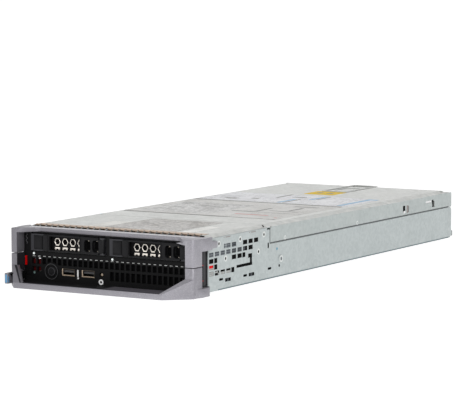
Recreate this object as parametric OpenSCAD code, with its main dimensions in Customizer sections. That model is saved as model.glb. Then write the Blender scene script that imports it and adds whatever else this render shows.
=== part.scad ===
// Half-height blade server, lying flat.
// X runs across the front, Y from front to back and Z up; the origin is the centre of the underside.
// Pieces are drawn with Y = 0 just behind the front edge of the sheet metal, and seat() moves them back.

/* [Chassis] */
// Space between a drive carrier and the side of the chassis
bay_side = 12.65; // [12:0.05:13]
// Length of the side panels
chassis_len = 474; // [466:1:490]
// Height from the underside to the top plateau
chassis_h = 48.4; // [48:0.2:50]
// Thickness of the side panels, top plate and cover
sheet_t = 1; // [0.8:0.1:1.1]
// Thickness of the base pan
pan_t = 1.2; // [1:0.1:1.4]
// Width of the sloped edge along each side of the top
bevel_w = 6; // [5:0.5:8]
// Drop of the sloped edge
bevel_drop = 2.5; // [2:0.25:2.75]
// Length of the fixed front top plate
front_top_len = 98; // [96:1:104]

/* [Side vents] */
// Length of one vent
vent_l = 7.3; // [6:0.1:8]
// Height of one vent
vent_h = 3.9; // [3:0.1:4.4]
// Spacing of the vent columns
vent_col_pitch = 9.43; // [9:0.01:9.8]
// Spacing of the vent rows
vent_row_pitch = 5.45; // [5:0.05:5.6]

/* [Cover] */
// Depth of the cover's side flanges below the sloped edge
flange_depth = 14.6; // [12:0.2:15]
// Slide of the cover when it is opened
cover_travel = 18; // [12:1:22]
// Length of the latch cup in the cover
latch_cup_len = 69; // [60:1:76]
// Width of the latch cup in the cover
latch_cup_w = 26; // [22:1:32]
// Depth of the latch cup
latch_cup_depth = 7; // [6.6:0.2:9]

/* [Front panel] */
// Distance of the panel's face ahead of the sheet metal
panel_ahead = 14; // [13.5:0.5:16]
// Thickness of the panel's face
panel_t = 2.5; // [2:0.1:2.8]
// Spacing of the grille slots
slot_pitch = 5.47; // [5:0.01:5.8]
// Width of one grille slot
slot_w = 3.9; // [3.2:0.1:4.2]
// Radius of the power button
power_r = 4.3; // [3.6:0.1:4.8]
// Outer radius of the ring around the power button
power_ring_r = 7.6; // [7:0.1:8.2]

/* [Bezel and handle] */
// Distance of the posts' faces ahead of the panel
post_ahead = 12; // [10:0.5:14]
// Distance of the rail's face ahead of the panel
rail_ahead = 31; // [28:1:34]
// Height of the rail's face
rail_h = 4.9; // [4.4:0.1:5.4]
// Reach of the handle below the underside
handle_drop = 2.6; // [2.2:0.1:3]
// How far the right post stands out past the side panel
right_post_out = 0.8; // [0.6:0.1:1]
// How far the left post stands out past the side panel
left_post_out = 1.7; // [1.5:0.1:2]
// Width of the left post's face
left_post_w = 6; // [5.4:0.1:6.4]
// Width of the right post's face
right_post_w = 8.8; // [8:0.1:9.2]
// Height of the split in the right post
split_z = 23.3; // [22.4:0.1:24]
// Height of the split in the left post
left_split_z = 25.4; // [24.6:0.1:26]
// Gap at that split
split_gap = 0.8; // [0.5:0.1:1.2]
// Radius of the hinge pin
hinge_pin_r = 2; // [1.5:0.1:2.4]
// Radius of the hinge foot around the pin
hinge_foot_r = 7.5; // [7:0.1:7.8]

/* [Drives] */
// Space beside the drive in a carrier, on each side
carrier_side = 4; // [3.6:0.1:4.4]
// Height of one drive carrier
carrier_h = 15.5; // [15.4:0.1:16]
// Space between the two carriers
carrier_gap = 5; // [4.6:0.1:5.4]
// Shift of the carriers to the left of the centre
carrier_shift = 0.5; // [0:0.1:1]
// Width of a hard drive
drive_w = 69.85; // [69:0.05:70.1]
// Length of a hard drive
drive_len = 100.2; // [98:0.1:101]
// Height of a hard drive
drive_h = 14.6; // [9.5:0.1:14.7]
// Spacing of the hexagonal holes in the carrier's metal
hex_pitch = 8.1; // [7.9:0.1:8.4]

/* [Boards] */
// Thickness of every circuit board
board_t = 1.6; // [1.2:0.1:2]
// Height of the standoffs under the main board
standoff_h = 4.8; // [4:0.1:6]
// Number of memory modules
dimm_count = 8; // [4:1:8]
// Spacing of the memory modules
dimm_pitch = 9.6; // [9:0.1:9.8]
// Length of each heat sink
sink_len = 88; // [70:1:92]
// Width of each heat sink
sink_w = 72; // [60:1:76]
// Spacing of the heat sink fins
fin_pitch = 3; // [2.6:0.1:4]

/* [Rear] */
// Radius of the guide bores in the rear connector
guide_bore_r = 3.5; // [3:0.1:4]
// Depth of the guide bores
guide_bore_len = 18; // [12:1:22]

/* [Hidden] */
$fn = 48;
eps = 0.01;
lip = 1.6;                                   // sheet metal ahead of Y = 0
slide_gap = 0.3;                             // between moving faces
fit_gap = 0.15;                              // between parts that sit in each other
pin_gap = 0.05;                              // radial, pin in a turning bore
carrier_w = drive_w + 2 * carrier_side;
hw = carrier_w + carrier_gap / 2 + bay_side;  // half the width over the side panels
inner_x = hw - sheet_t;
back_y = chassis_len - lip;
shoulder_z = chassis_h - bevel_drop;
flange_z = shoulder_z - flange_depth;
cover_y = front_top_len + 0.6;
flange_y = cover_y + 5;
panel_y = -panel_ahead;
panel_back = panel_y + panel_t;
panel_side_x = hw - 2.6;
foot_top = 4.9;
panel_foot_z = foot_top + 0.5;
post_y = panel_y - post_ahead;
rail_y = panel_y - rail_ahead;
post_x = hw + right_post_out;
left_post_x = -hw - left_post_out;
post_back = panel_y - 0.7;
bezel_top = chassis_h - 1.1;
cap_t = 3.5;
cap_z = bezel_top - cap_t;
carrier_z = cap_z - 1.4 - carrier_h;
left_x = -carrier_shift - carrier_gap / 2 - carrier_w;
right_x = -carrier_shift + carrier_gap / 2;
bay_gap = 0.6;
bay_z = carrier_z - 0.5;                     // lower edge of the drive bays
shelf_t = 1;
shelf_z = carrier_z - 0.2 - shelf_t;
drive_y = panel_y + 5;
backplane_y = drive_y + drive_len + 3.8;
hinge = [hw - 5, -7];
rail_lip = 3.5;
foot_clear = 0.3;                            // the pan's ear above the resting face
board_z = pan_t + standoff_h;
board_top = board_z + board_t;
board_y = backplane_y + board_t + 4;
board_end = back_y - 12;
board_x = inner_x - 8;
grille_hi = carrier_z - 6.1;
release_pin = [left_post_x + 3.5, post_y + 1.7];
latch_y = back_y - 9.4 - latch_cup_len;
lever_axis = [latch_y + latch_cup_len - 8, chassis_h - 2.9];
latch_pin_r = 1.2;
latch_barrel_r = 2.3;

// ---- shared shapes ----

module seat() translate([0, lip - chassis_len / 2, 0]) children();

module block(x, y, z) translate([x[0], y[0], z[0]]) cube([x[1] - x[0], y[1] - y[0], z[1] - z[0]]);

// A flat outline in X and Z, carried from one Y to another
module along_y(y0, y1) translate([0, y1, 0]) rotate([90, 0, 0]) linear_extrude(y1 - y0) children();

// A flat outline in Y and Z, carried from one X to another
module along_x(x0, x1) translate([x0, 0, 0]) rotate([90, 0, 90]) linear_extrude(x1 - x0) children();

// A flat outline in X and Y, carried from one Z to another
module along_z(z0, z1) translate([0, 0, z0]) linear_extrude(z1 - z0) children();

// A rectangle with round corners, from its low corner
module soft_rect(w, h, r) {
    translate([r, 0]) square([w - 2 * r, h]);
    translate([0, r]) square([w, h - 2 * r]);
    for (x = [r, w - r], y = [r, h - r]) translate([x, y]) circle(r);
}

module both_sides() {
    children();
    mirror([1, 0, 0]) children();
}

// Points of an arc of radius r from angle a to angle b
function arc(c, r, a, b, n = 6) = [for (i = [0:n]) let (t = a + (b - a) * i / n)
    c + r * [cos(t), sin(t)]];

// Points of an S-shaped blend from p to q that starts and ends along X
function blend(p, q, n = 8) = [for (i = [0:n]) let (t = i / n, s = (1 - cos(180 * t)) / 2)
    [p.x + (q.x - p.x) * t, p.y + (q.y - p.y) * s]];

// ---- sheet metal ----

module base_pan() {
    ear_r = hinge_foot_r - 2;
    seat() color("silver") difference() {
        union() {
            block([-inner_x, inner_x], [-lip, back_y], [0, pan_t]);
            block([hinge.x - ear_r, hinge.x + 0.5], [hinge.y, 0], [foot_clear, pan_t]);
            translate([hinge.x, hinge.y, foot_clear]) cylinder(r = ear_r, h = pan_t - foot_clear);
            both_sides() block([inner_x - 6, inner_x - 5], [20, back_y - 30], [pan_t - eps, pan_t + 3]);
        }
        translate([hinge.x, hinge.y, -1]) cylinder(r = hinge_pin_r + 0.02, h = pan_t + 2);
        block([-hw, -hw + 9], [-lip - 1, 0.5], [-1, pan_t + 1]);
        // corner cut back for the jaw of the handle, and raised edge over its foot
        block([hinge.x + 0.5, hw], [-lip - 1, 1.6], [-1, pan_t + 1]);
        block([hinge.x - hinge_foot_r - 2, hw], [-lip - 1, hinge.y + hinge_foot_r + 1], [-1, foot_clear]);
        for (x = [-60, 0, 60], y = [140, 260, 380]) translate([x, y, -1]) cylinder(r = 1.6, h = pan_t + 2);
    }
}

// Vent rows from the bottom: first height, then the columns that are open
side_vent_z = 13.3;
side_vents = [[0, 1, 2, 3], [0], [0, 4, 5], [0, 1, 2, 3, 4, 5, 6, 7], [3, 4, 6, 7, 8]];
half_vents = [[3.95, 0], [0.95, 1], [0.95, 2], [5.95, 2], [2.6, 4]];
screw_spots = [[16, shoulder_z - 5.9], [51.5, shoulder_z - 5.5], [92.5, shoulder_z - 5.5],
    [27, shelf_z + shelf_t / 2], [83, shelf_z + shelf_t / 2]];

module side_openings() {
    module opening(y, z, l, h) translate([y, z]) square([l, h]);
    for (row = [0:4], col = side_vents[row])
        opening(-0.4 + col * vent_col_pitch, side_vent_z + row * vent_row_pitch, vent_l, vent_h);
    for (v = half_vents)
        opening(-0.4 + v[0] * vent_col_pitch, side_vent_z + v[1] * vent_row_pitch, vent_l * 0.42, vent_h);
    // spring tab, cut free along an L
    opening(45.5, 16.3, 26, 2);
    opening(68, 16.3, 3.6, 7);
    opening(65, 22.6, 6.8, 3.6);
    // board tray slots
    for (y = [26, 66]) opening(y, 6.1, 9.6, 3);
    for (s = [[16, 8.2], [56.5, 7], [99, 8.4]]) translate(s) soft_rect(6.4, 1.6, 0.79);
    opening(flange_y - 4.4, 27.6, 1.7, 4.6);
    translate([119.5, 9.9]) circle(0.8);
}

module side_panel() {
    joggle = sheet_t + 0.3;
    step_z = flange_z - 1.6;
    difference() {
        union() {
            along_x(inner_x, hw) polygon([[-lip, 0], [back_y - 3, 0], [back_y, 3], [back_y, flange_z - 2.4],
                [back_y - 2, flange_z - 0.4], [flange_y - 0.6, flange_z - 0.4],
                [flange_y - 0.6, shoulder_z - 2], [front_top_len, shoulder_z - 2],
                [front_top_len, shoulder_z - 0.2], [-lip, shoulder_z - 0.2]]);
            along_x(inner_x - joggle, inner_x - 0.3) polygon([[flange_y + 1, step_z], [back_y - 4, step_z],
                [back_y - 4, shoulder_z - 4], [flange_y + 1, shoulder_z - 4]]);
            along_x(inner_x - joggle, hw - eps) polygon([[flange_y + 1, step_z], [back_y - 4, step_z],
                [back_y - 4, flange_z - 0.6], [flange_y + 1, flange_z - 0.6]]);
            translate([hw - eps, 122, 15.9]) rotate([0, 90, 0]) cylinder(r1 = 3.6, r2 = 2.6, h = 0.7);
        }
        along_x(inner_x - 1, hw + 1) side_openings();
        for (s = screw_spots) translate([inner_x - 0.5, s.x, s.y]) rotate([0, 90, 0]) {
            cylinder(r = 1.4, h = 3);
            translate([0, 0, 0.5 + sheet_t - 0.8]) cylinder(r1 = 1.4, r2 = 2.7, h = 0.81);
        }
        // relief for the hinge foot
        block([inner_x - 1, hw + 1], [-lip - 1, 0.6], [-1, panel_foot_z]);
        // hooks of the cover reach through here
        for (y = [back_y - 109, back_y - 44]) block([inner_x - 3, inner_x], [y, y + 6], [32.8, 40.4]);
    }
}

module right_side_panel() seat() color("silver") side_panel();

module left_side_panel() seat() color("silver") mirror([1, 0, 0]) side_panel();

// Outline of the top sheet, in X and Z: plateau, sloped edges and short inner flanges
module top_outline(skirt_x, skirt_z) {
    half = [[hw - bevel_w, chassis_h], [hw, shoulder_z], [skirt_x, shoulder_z], [skirt_x, skirt_z],
        [skirt_x - sheet_t, skirt_z], [skirt_x - sheet_t, shoulder_z - 0.1],
        [hw - bevel_w - 0.4, chassis_h - sheet_t]];
    last = len(half) - 1;
    polygon(concat(half, [for (i = [last:-1:0]) [-half[i].x, half[i].y]]));
}

module front_top_plate() {
    seat() color("gainsboro") difference() {
        along_y(-lip, front_top_len) top_outline(inner_x - 0.05, shoulder_z - 8);
        both_sides() for (i = [0:2]) translate([inner_x - 2, screw_spots[i].x, screw_spots[i].y])
            rotate([0, 90, 0]) cylinder(r = 1.4, h = 3);
        both_sides() block([inner_x - 3, hw], [0, 5], [0, shoulder_z - 3]);
    }
}

module side_screws() {
    head_h = 0.7;
    seat() color("dimgray") both_sides() for (s = screw_spots)
        translate([hw - head_h - 0.05, s.x, s.y]) rotate([0, 90, 0]) difference() {
            union() {
                cylinder(r1 = 1.3, r2 = 2.4, h = head_h);
                translate([0, 0, -1.6]) cylinder(r = 1.3, h = 1.7);
            }
            translate([0, 0, 0.4]) cylinder(r = 0.9, h = 1, $fn = 6);
        }
}

module rear_panel() {
    seat() color("silver") difference() {
        union() {
            block([-inner_x + 2.8, inner_x - 2.8], [back_y - 2.4, back_y - 1.4], [pan_t, shoulder_z - 2]);
            both_sides() block([inner_x - 3.8, inner_x - 2.8], [back_y - 14, back_y - 1.4],
                [pan_t + 6, shoulder_z - 6]);
        }
        for (c = rear_blocks) along_y(back_y - 4, back_y) translate([c[0] - c[2] / 2 - 0.4, c[1] - 0.4])
            square([c[2] + 0.8, c[3] + 0.8]);
        for (x = [7:7:inner_x - 10]) if (x > latch_cup_w / 2 + 2)
            both_sides() block([x, x + 5], [back_y - 4, back_y], [38, 41]);
        // way for the latch cup, and room for the guides
        block([-latch_cup_w / 2 - 1, latch_cup_w / 2 + 1], [back_y - 4, back_y],
            [chassis_h - latch_cup_depth - 0.8, chassis_h]);
        both_sides() block([inner_x - 7.3, inner_x], [back_y - 15, back_y], [0, pan_t + 5.3]);
    }
}

// ---- EMI finger strips on the front edge of the top ----

emi_t = 0.25;
emi_bulge = 0.75;

module emi_finger_outline() {
    outer = concat([[3.2, 0]], blend([2.6, emi_t], [0.6, emi_bulge]),
        [[-0.8, 0.6], [-lip - 0.3, 0.25], [-lip - 0.5, -0.9]]);
    inner = [[-lip - 0.25, -0.9], [-lip - 0.1, 0.05], [-0.8, 0.35], [0.5, emi_bulge - emi_t], [2.2, 0]];
    polygon(concat(outer, inner));
}

module emi_strip(x0, x1) {
    pitch = 6.35;
    count = floor((x1 - x0) / pitch);
    translate([0, 0, chassis_h + 0.02]) {
        block([x0, x1], [2.4, 10], [0, emi_t]);
        for (i = [0:count - 1]) along_x(x0 + 0.6 + i * pitch, x0 + 5.2 + i * pitch)
            emi_finger_outline();
    }
}

module emi_strips() {
    end = hw - bevel_w - 0.5;
    seat() color("tan") {
        emi_strip(-end, -10);
        emi_strip(-9.4, end);
    }
}

// ---- front panel and what sits in it ----

power_spot = [-hw + 33, 9.55];
usb_w = 13.1;
usb_h = 6.1;
usb_len = 14;
usb_z = 6.8;
usb_spots = [-hw + 44.2, -hw + 65.1];
strip_x = left_post_x + left_post_w + 0.6;
hook_x = 3.25;                               // tip of the release button's hook from its pin
catch_x = release_pin.x + hook_x + slide_gap;
round_lights = [[-hw + 14.2, grille_hi + 3.8], [right_x + 1.9, grille_hi + 3.3], [-hw + 14.6, 7.6]];
light_r = 1;
reset_spot = [-hw + 85.2, 10];
reset_r = 1.2;

module grille_slots() {
    hi_h = 5.5;
    lo_h = 7.8;
    lo_top = grille_hi - hi_h - 2.2;
    left_lo_h = 4.5;
    first = -hw + 12.2;
    count = floor((panel_side_x - 6.5 - first) / slot_pitch);
    module slot(x, top, h) translate([x, top - h]) square([slot_w, h]);
    difference() {
        for (i = [0:count - 1]) let (x = first + i * slot_pitch) {
            slot(x, grille_hi, hi_h);
            translate([x + 0.4, grille_hi + 1]) square([slot_w - 0.8, 0.9]);
            if (x > reset_spot.x + 5) slot(x, lo_top, lo_h);
            if (x < power_spot.x - power_ring_r - slot_w) slot(x, lo_top, left_lo_h);
        }
        translate(power_spot) circle(power_ring_r + 0.5);
    }
}

module front_panel() {
    seat() color([0.08, 0.08, 0.09]) difference() {
        union() {
            along_y(panel_y, panel_back) polygon([[-panel_side_x, panel_foot_z],
                [1 - panel_side_x, panel_foot_z], [1 - panel_side_x, foot_clear],
                [hinge.x - 14, foot_clear], [hinge.x - 10, panel_foot_z], [panel_side_x, panel_foot_z],
                [panel_side_x, bay_z], [-panel_side_x, bay_z]]);
            both_sides()
                block([panel_side_x - 1.8, panel_side_x], [panel_y, -lip - 0.2], [panel_foot_z, bay_z]);
            block([-hinge.x + 20, hinge.x - 20], [panel_y, 6], [pan_t, pan_t + 1.6]);
            block([hinge.x - 8, panel_side_x], [panel_y, -lip - 0.2], [panel_foot_z, panel_foot_z + 3]);
            // ring around the power button
            translate([power_spot.x, panel_y + eps, power_spot.y]) rotate([90, 0, 0]) rotate_extrude()
                polygon([[power_ring_r - 1.6, 0], [power_ring_r - 1.2, 0.7], [power_ring_r - 0.4, 0.7],
                    [power_ring_r, 0]]);
        }
        along_y(panel_y - 1, panel_back + 1) grille_slots();
        for (x = usb_spots) block([x - fit_gap, x + usb_w + fit_gap], [panel_y - 1, panel_back + 1],
            [usb_z - fit_gap, usb_z + usb_h + fit_gap]);
        translate([power_spot.x, panel_back + 1, power_spot.y]) rotate([90, 0, 0])
            cylinder(r = power_r + slide_gap, h = panel_t + 3);
        for (s = round_lights) translate([s.x, panel_back + 1, s.y]) rotate([90, 0, 0])
            cylinder(r = light_r + pin_gap, h = panel_t + 2);
        translate([hinge.x, hinge.y, 0]) cylinder(r = hinge_pin_r + 0.02, h = 20);
        translate([reset_spot.x, panel_back + 1, reset_spot.y]) rotate([90, 0, 0])
            cylinder(r = reset_r + 0.8, h = panel_t + 2);
        // the lock strip's tail
        block([strip_x - 0.1, strip_x + 2.1], [panel_y - 1, panel_back + 1], [14.9, 18.1]);
    }
}

// Frame of the two drive bays, standing on the panel
module bay_frame() {
    top = cap_z - 0.2;
    seat() color([0.08, 0.08, 0.09]) {
        along_y(panel_y, panel_back) difference() {
            translate([-panel_side_x, bay_z]) square([2 * panel_side_x, top - bay_z]);
            for (x = [left_x, right_x]) translate([x - bay_gap, bay_z - 1])
                square([carrier_w + 2 * bay_gap, carrier_h + 2]);
        }
        both_sides() block([panel_side_x - 1.8, panel_side_x], [panel_y, -lip - 0.2], [bay_z, top]);
    }
}

// Catch for the hook of the release button
module handle_catch() {
    seat() color([0.08, 0.08, 0.09]) {
        block([catch_x, catch_x + 1.5], [panel_y - 5.4, panel_y - 2.9], [2.4, 9]);
        block([catch_x, catch_x + 1.5], [panel_y - 5.4, panel_y], [7, 9]);
        block([catch_x, catch_x + 6], [panel_y - 0.8, panel_y], [6, 10]);
    }
}

module status_lights() {
    seat() color("white") for (s = round_lights) translate([s.x, panel_back + 0.2, s.y]) rotate([90, 0, 0])
        cylinder(r = light_r, h = panel_t + 0.5);
    // stem of the reset button, set back in its hole
    seat() color("tan") translate([reset_spot.x, panel_back + 3.5, reset_spot.y]) rotate([90, 0, 0])
        cylinder(r = reset_r, h = 4.6);
}

module usb_shells() {
    wall = 0.4;
    seat() color("silver") for (x = usb_spots) difference() {
        block([x, x + usb_w], [panel_y - 0.2, panel_y + usb_len], [usb_z, usb_z + usb_h]);
        block([x + wall, x + usb_w - wall], [panel_y - 1, panel_y + usb_len - wall],
            [usb_z + wall, usb_z + usb_h - wall]);
    }
}

module usb_tongues() {
    seat() color("black") for (x = usb_spots) {
        block([x + 1, x + usb_w - 1], [panel_y + 1.2, panel_y + usb_len - 2], [usb_z + 3, usb_z + 4.8]);
        block([x + 0.42, x + usb_w - 0.42], [panel_y + usb_len - 2, panel_y + usb_len - 0.42],
            [usb_z + 0.42, usb_z + usb_h - 0.42]);
    }
}

module front_io_board() {
    z = usb_z - board_t;
    io_feet = [-hw + 13, -hw + 86];
    seat() color("darkgreen") difference() {
        union() {
            block([-hw + 9, -hw + 90], [panel_back + 3.5, 26], [z, usb_z]);
            for (x = io_feet) translate([x, 20, pan_t]) cylinder(r = 2.4, h = z - pan_t + eps);
            block([usb_spots[0], usb_spots[1] + usb_w], [12, 24], [usb_z - eps, usb_z + 6]);
        }
        for (x = io_feet) translate([x, 20, z - 3]) cylinder(r = 1.2, h = 10);
    }
}

module power_switch() {
    seat() color("dimgray") {
        block([power_spot.x - 4, power_spot.x + 4], [panel_back + 4.2, panel_back + 9], [usb_z, usb_z + 7]);
        translate([power_spot.x, panel_back + 4.21, power_spot.y]) rotate([90, 0, 0])
            cylinder(r = 1.6, h = 1.2);
    }
}

module power_button() {
    seat() color([0.12, 0.12, 0.13]) translate([power_spot.x, panel_back + 0.2, power_spot.y])
        rotate([90, 0, 0]) difference() {
            rotate_extrude() polygon(concat([[0, -1.2], [power_r + 1, -1.2], [power_r + 1, 0], [power_r, 0]],
                arc([power_r - 0.6, panel_t + 0.1], 0.6, 0, 90), [[0, panel_t + 0.7]]));
            translate([0, 0, panel_t + 0.3]) rotate_extrude() translate([power_r * 0.55, 0]) square([0.6, 1]);
        }
}

// Red strip beside the left post, with a tail that runs on behind the panel
module lock_strip() {
    seat() color("red") {
        block([strip_x + 0.9, strip_x + 2], [panel_y - 1.6, panel_y - 0.05], [14, 22.2]);
        block([strip_x + 0.9, strip_x + 2], [panel_y - 0.1, panel_back + 1.6], [15, 18]);
        block([strip_x, strip_x + 16], [panel_back + 0.2, panel_back + 1.6], [9, 19.6]);
    }
}

// ---- drives ----

module drive_cage() {
    rear = backplane_y - 0.3;
    top = carrier_z + carrier_h + 1.2;
    wall_x = [left_x - bay_gap - 1, left_x + carrier_w + bay_gap, right_x - bay_gap - 1,
        right_x + carrier_w + bay_gap];
    seat() color("silver") difference() {
        union() {
            block([-inner_x + 1.2, inner_x - 1.2], [0, rear], [shelf_z, shelf_z + shelf_t]);
            block([-panel_side_x + 2.2, panel_side_x - 2.2], [panel_back + 0.3, eps],
                [shelf_z, shelf_z + shelf_t]);
            both_sides() block([inner_x - 1.2, inner_x], [8, 88], [shelf_z - 3, shelf_z + shelf_t + 3]);
            for (x = wall_x) block([x, x + 1], [panel_back + 0.3, rear], [shelf_z, top]);
            both_sides() block([inner_x - 16, inner_x - 15], [30, 70], [pan_t, shelf_z + eps]);
        }
        for (s = [screw_spots[3], screw_spots[4]]) both_sides() translate([inner_x - 4, s.x, s.y])
            rotate([0, 90, 0]) cylinder(r = 1.4, h = 8);
        for (x = [-70:14:66], y = [12:16:76]) along_z(shelf_z - 1, shelf_z + 2)
            translate([x, y]) soft_rect(9, 10, 1.5);
    }
}

module drive_backplane() {
    seat() color("darkgreen") difference() {
        block([-inner_x + 3, inner_x - 3], [backplane_y, backplane_y + board_t], [board_top + 3, 44.4]);
        for (x = [-80:20:70]) along_y(backplane_y - 1, backplane_y + board_t + 1)
            translate([x, board_top + 6]) soft_rect(12, 10, 2);
    }
}

module backplane_connectors() {
    seat() color([0.15, 0.15, 0.16]) {
        for (x = [left_x, right_x]) block([x + carrier_w / 2 - 22, x + carrier_w / 2 + 22],
            [drive_y + drive_len + 0.3, backplane_y], [carrier_z + 2, carrier_z + 7]);
        block([-30, 30], [backplane_y + board_t, board_y + 8], [board_top, board_top + 9]);
        block([-30, 30], [backplane_y + board_t, board_y - 1], [board_z - 2, board_top]);
    }
}

mesh_y = panel_y + 1.4;
lever_y = panel_y - 3;
button_u = [3.4, 13];
button_w = [1.6, 13.9];
lever_u0 = 14.3;
lever_end_r = 2.2;
lever_pin_y = lever_y + lever_end_r;
window_u = [20.5, 52.6];
window_w = [1.8, 14];
slot_u = [[57.2, 64], [65.6, 72.4]];

// Everything in a carrier is drawn from its own front lower left corner
module carrier_spot(x) translate([x, 0, carrier_z]) children();

module drive_carrier(x) {
    rail = (carrier_w - drive_w) / 2 - fit_gap;
    pin_u = carrier_w - lever_end_r - 0.4;
    seat() color([0.2, 0.2, 0.21]) carrier_spot(x) difference() {
        union() {
            // front block around the release button
            block([0, lever_u0 - 0.4], [panel_y - 1.6, drive_y - 1], [0.3, carrier_h - 0.3]);
            block([0, carrier_w], [mesh_y + 1, mesh_y + 2.4], [0.3, carrier_h - 0.3]);
            // side rails, with a ledge under the drive
            for (u = [0, carrier_w - rail]) block([u, u + rail], [mesh_y + 1, drive_y + drive_len - 2],
                [0, carrier_h - 1.2]);
            for (u = [0, carrier_w - rail - 3])
                block([u, u + rail + 3], [mesh_y + 1, drive_y + drive_len - 2],
                [0, 0.6]);
            // lugs for the lever's pin
            for (w = [0.3, carrier_h - 1.7]) block([pin_u - 2, carrier_w], [lever_y + 0.6, mesh_y + 1.1],
                [w, w + 1.4]);
        }
        block(button_u, [lever_y - 1, drive_y - 2], button_w);
        block([lever_u0 + 4, pin_u - 2], [mesh_y, mesh_y + 3], [1.6, carrier_h - 1.6]);
        translate([pin_u, lever_pin_y, -1]) cylinder(r = 1.02, h = carrier_h + 2);
        for (y = [drive_y + 14, drive_y + 90]) translate([-1, y, 4]) rotate([0, 90, 0])
            cylinder(r = 1.5, h = carrier_w + 2);
    }
}

module hard_drive(x) {
    seat() color([0.62, 0.63, 0.64]) carrier_spot(x)
        translate([(carrier_w - drive_w) / 2, drive_y, 0.65]) difference() {
            union() {
                along_z(0, drive_h - 0.7) soft_rect(drive_w, drive_len, 2);
                along_z(drive_h - 0.71, drive_h) translate([2, 3]) soft_rect(drive_w - 4, drive_len - 12, 6);
            }
            along_z(drive_h - 0.4, drive_h + 1) translate([drive_w / 2 - 12, 30]) soft_rect(24, 40, 5);
            for (u = [5, drive_w - 5], v = [6, drive_len - 14]) translate([u, v, drive_h - 0.5])
                cylinder(r = 1.8, h = 2);
        }
}

module carrier_mesh(x) {
    rows = 2;
    seat() color([0.85, 0.8, 0.74]) carrier_spot(x) difference() {
        block([lever_u0 + 4.2, carrier_w - 5.2], [mesh_y + 0.1, mesh_y + 0.9], [1.2, carrier_h - 1.2]);
        for (i = [0:3], j = [0:rows - 1]) along_y(mesh_y - 1, mesh_y + 2)
            translate([window_u[0] + 6 + i * hex_pitch, window_w[1] - 4.6 - j * hex_pitch * 0.87])
                circle(3.3, $fn = 6);
        for (s = slot_u) along_y(mesh_y - 1, mesh_y + 2)
            translate([s[0] + 0.2, 4.4]) soft_rect(s[1] - s[0] - 0.4, carrier_h - 8.8, 1.5);
    }
}

module lever_pin(x) {
    seat() color("silver") carrier_spot(x) translate([carrier_w - lever_end_r - 0.4, lever_pin_y, 0.5])
        cylinder(r = 1, h = carrier_h - 1);
}

module carrier_lever(x) {
    pin_u = carrier_w - lever_end_r - 0.4;
    back = lever_y + 2.8;
    seat() color([0.13, 0.13, 0.14]) carrier_spot(x) difference() {
        union() {
            block([lever_u0, pin_u - 3.2], [lever_y, back], [0.4, carrier_h - 0.4]);
            block([pin_u - 3.3, pin_u], [lever_y, back], [2, carrier_h - 2]);
            translate([pin_u, lever_pin_y, 2]) cylinder(r = lever_end_r, h = carrier_h - 4);
            // thumb strip beside the release button
            block([lever_u0, lever_u0 + 5], [lever_y - 0.7, lever_y + eps], [0.8, carrier_h - 0.8]);
            // raised rim of the window
            along_y(lever_y - 0.5, lever_y + eps) difference() {
                translate([window_u[0] - 1.2, window_w[0] - 1.2]) soft_rect(window_u[1] - window_u[0] + 2.4,
                    window_w[1] - window_w[0] + 2.4, 2.2);
                translate([window_u[0] - 0.1, window_w[0] - 0.1]) soft_rect(window_u[1] - window_u[0] + 0.2,
                    window_w[1] - window_w[0] + 0.2, 1.5);
            }
        }
        along_y(lever_y - 1, back + 1) translate([window_u[0], window_w[0]])
            soft_rect(window_u[1] - window_u[0], window_w[1] - window_w[0], 1.4);
        for (s = slot_u) along_y(lever_y - 1, back + 1) translate([s[0], 2.4])
            soft_rect(s[1] - s[0], carrier_h - 4.8, 3);
        translate([pin_u, lever_pin_y, -1]) cylinder(r = 1 + pin_gap, h = carrier_h + 2);
    }
}

module carrier_button(x) {
    seat() color([0.1, 0.1, 0.11]) carrier_spot(x) {
        block([button_u[0] + slide_gap, button_u[1] - slide_gap], [panel_y - 2.4, drive_y - 5.2],
            [button_w[0] + slide_gap, button_w[1] - slide_gap]);
        block([button_u[0] + 1.3, button_u[1] - 1.3], [panel_y - 2.8, panel_y - 2.39],
            [button_w[0] + 1.3, button_w[1] - 1.3]);
    }
}

module left_drive_carrier() drive_carrier(left_x);
module left_hard_drive() hard_drive(left_x);
module left_carrier_mesh() carrier_mesh(left_x);
module left_lever_pin() lever_pin(left_x);
module left_carrier_lever() carrier_lever(left_x);
module left_carrier_button() carrier_button(left_x);
module right_drive_carrier() drive_carrier(right_x);
module right_hard_drive() hard_drive(right_x);
module right_carrier_mesh() carrier_mesh(right_x);
module right_lever_pin() lever_pin(right_x);
module right_carrier_lever() carrier_lever(right_x);
module right_carrier_button() carrier_button(right_x);

// ---- moulded bezel and handle ----

// Outlines of the two posts in X and Y, shared by the bezel and the handle below it
left_in = left_post_x + left_post_w;
right_in = post_x - right_post_w;
post_r = 2.5;
arm_x = panel_side_x + 0.4;
wrap = 1.7;                                  // the wings and the hinge jaw outside the posts
wing_y = [panel_y - 3.7, panel_y + 2.5];
jaw_y = [panel_y - 6.4, panel_y - 1.5];

module right_post_outline() polygon(concat([[right_in, post_y]],
    arc([post_x - post_r, post_y + post_r], post_r, -90, 0),
    [[post_x, post_back + 2], [arm_x, post_back + 2], [arm_x, post_back], [right_in, post_back]]));

module left_post_outline() polygon([[left_in, post_y], [left_in, post_back], [-arm_x, post_back],
    [-arm_x, post_back + 2], [left_post_x, post_back + 2], [left_post_x, post_y + 0.4],
    [left_post_x + 0.4, post_y]]);

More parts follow.
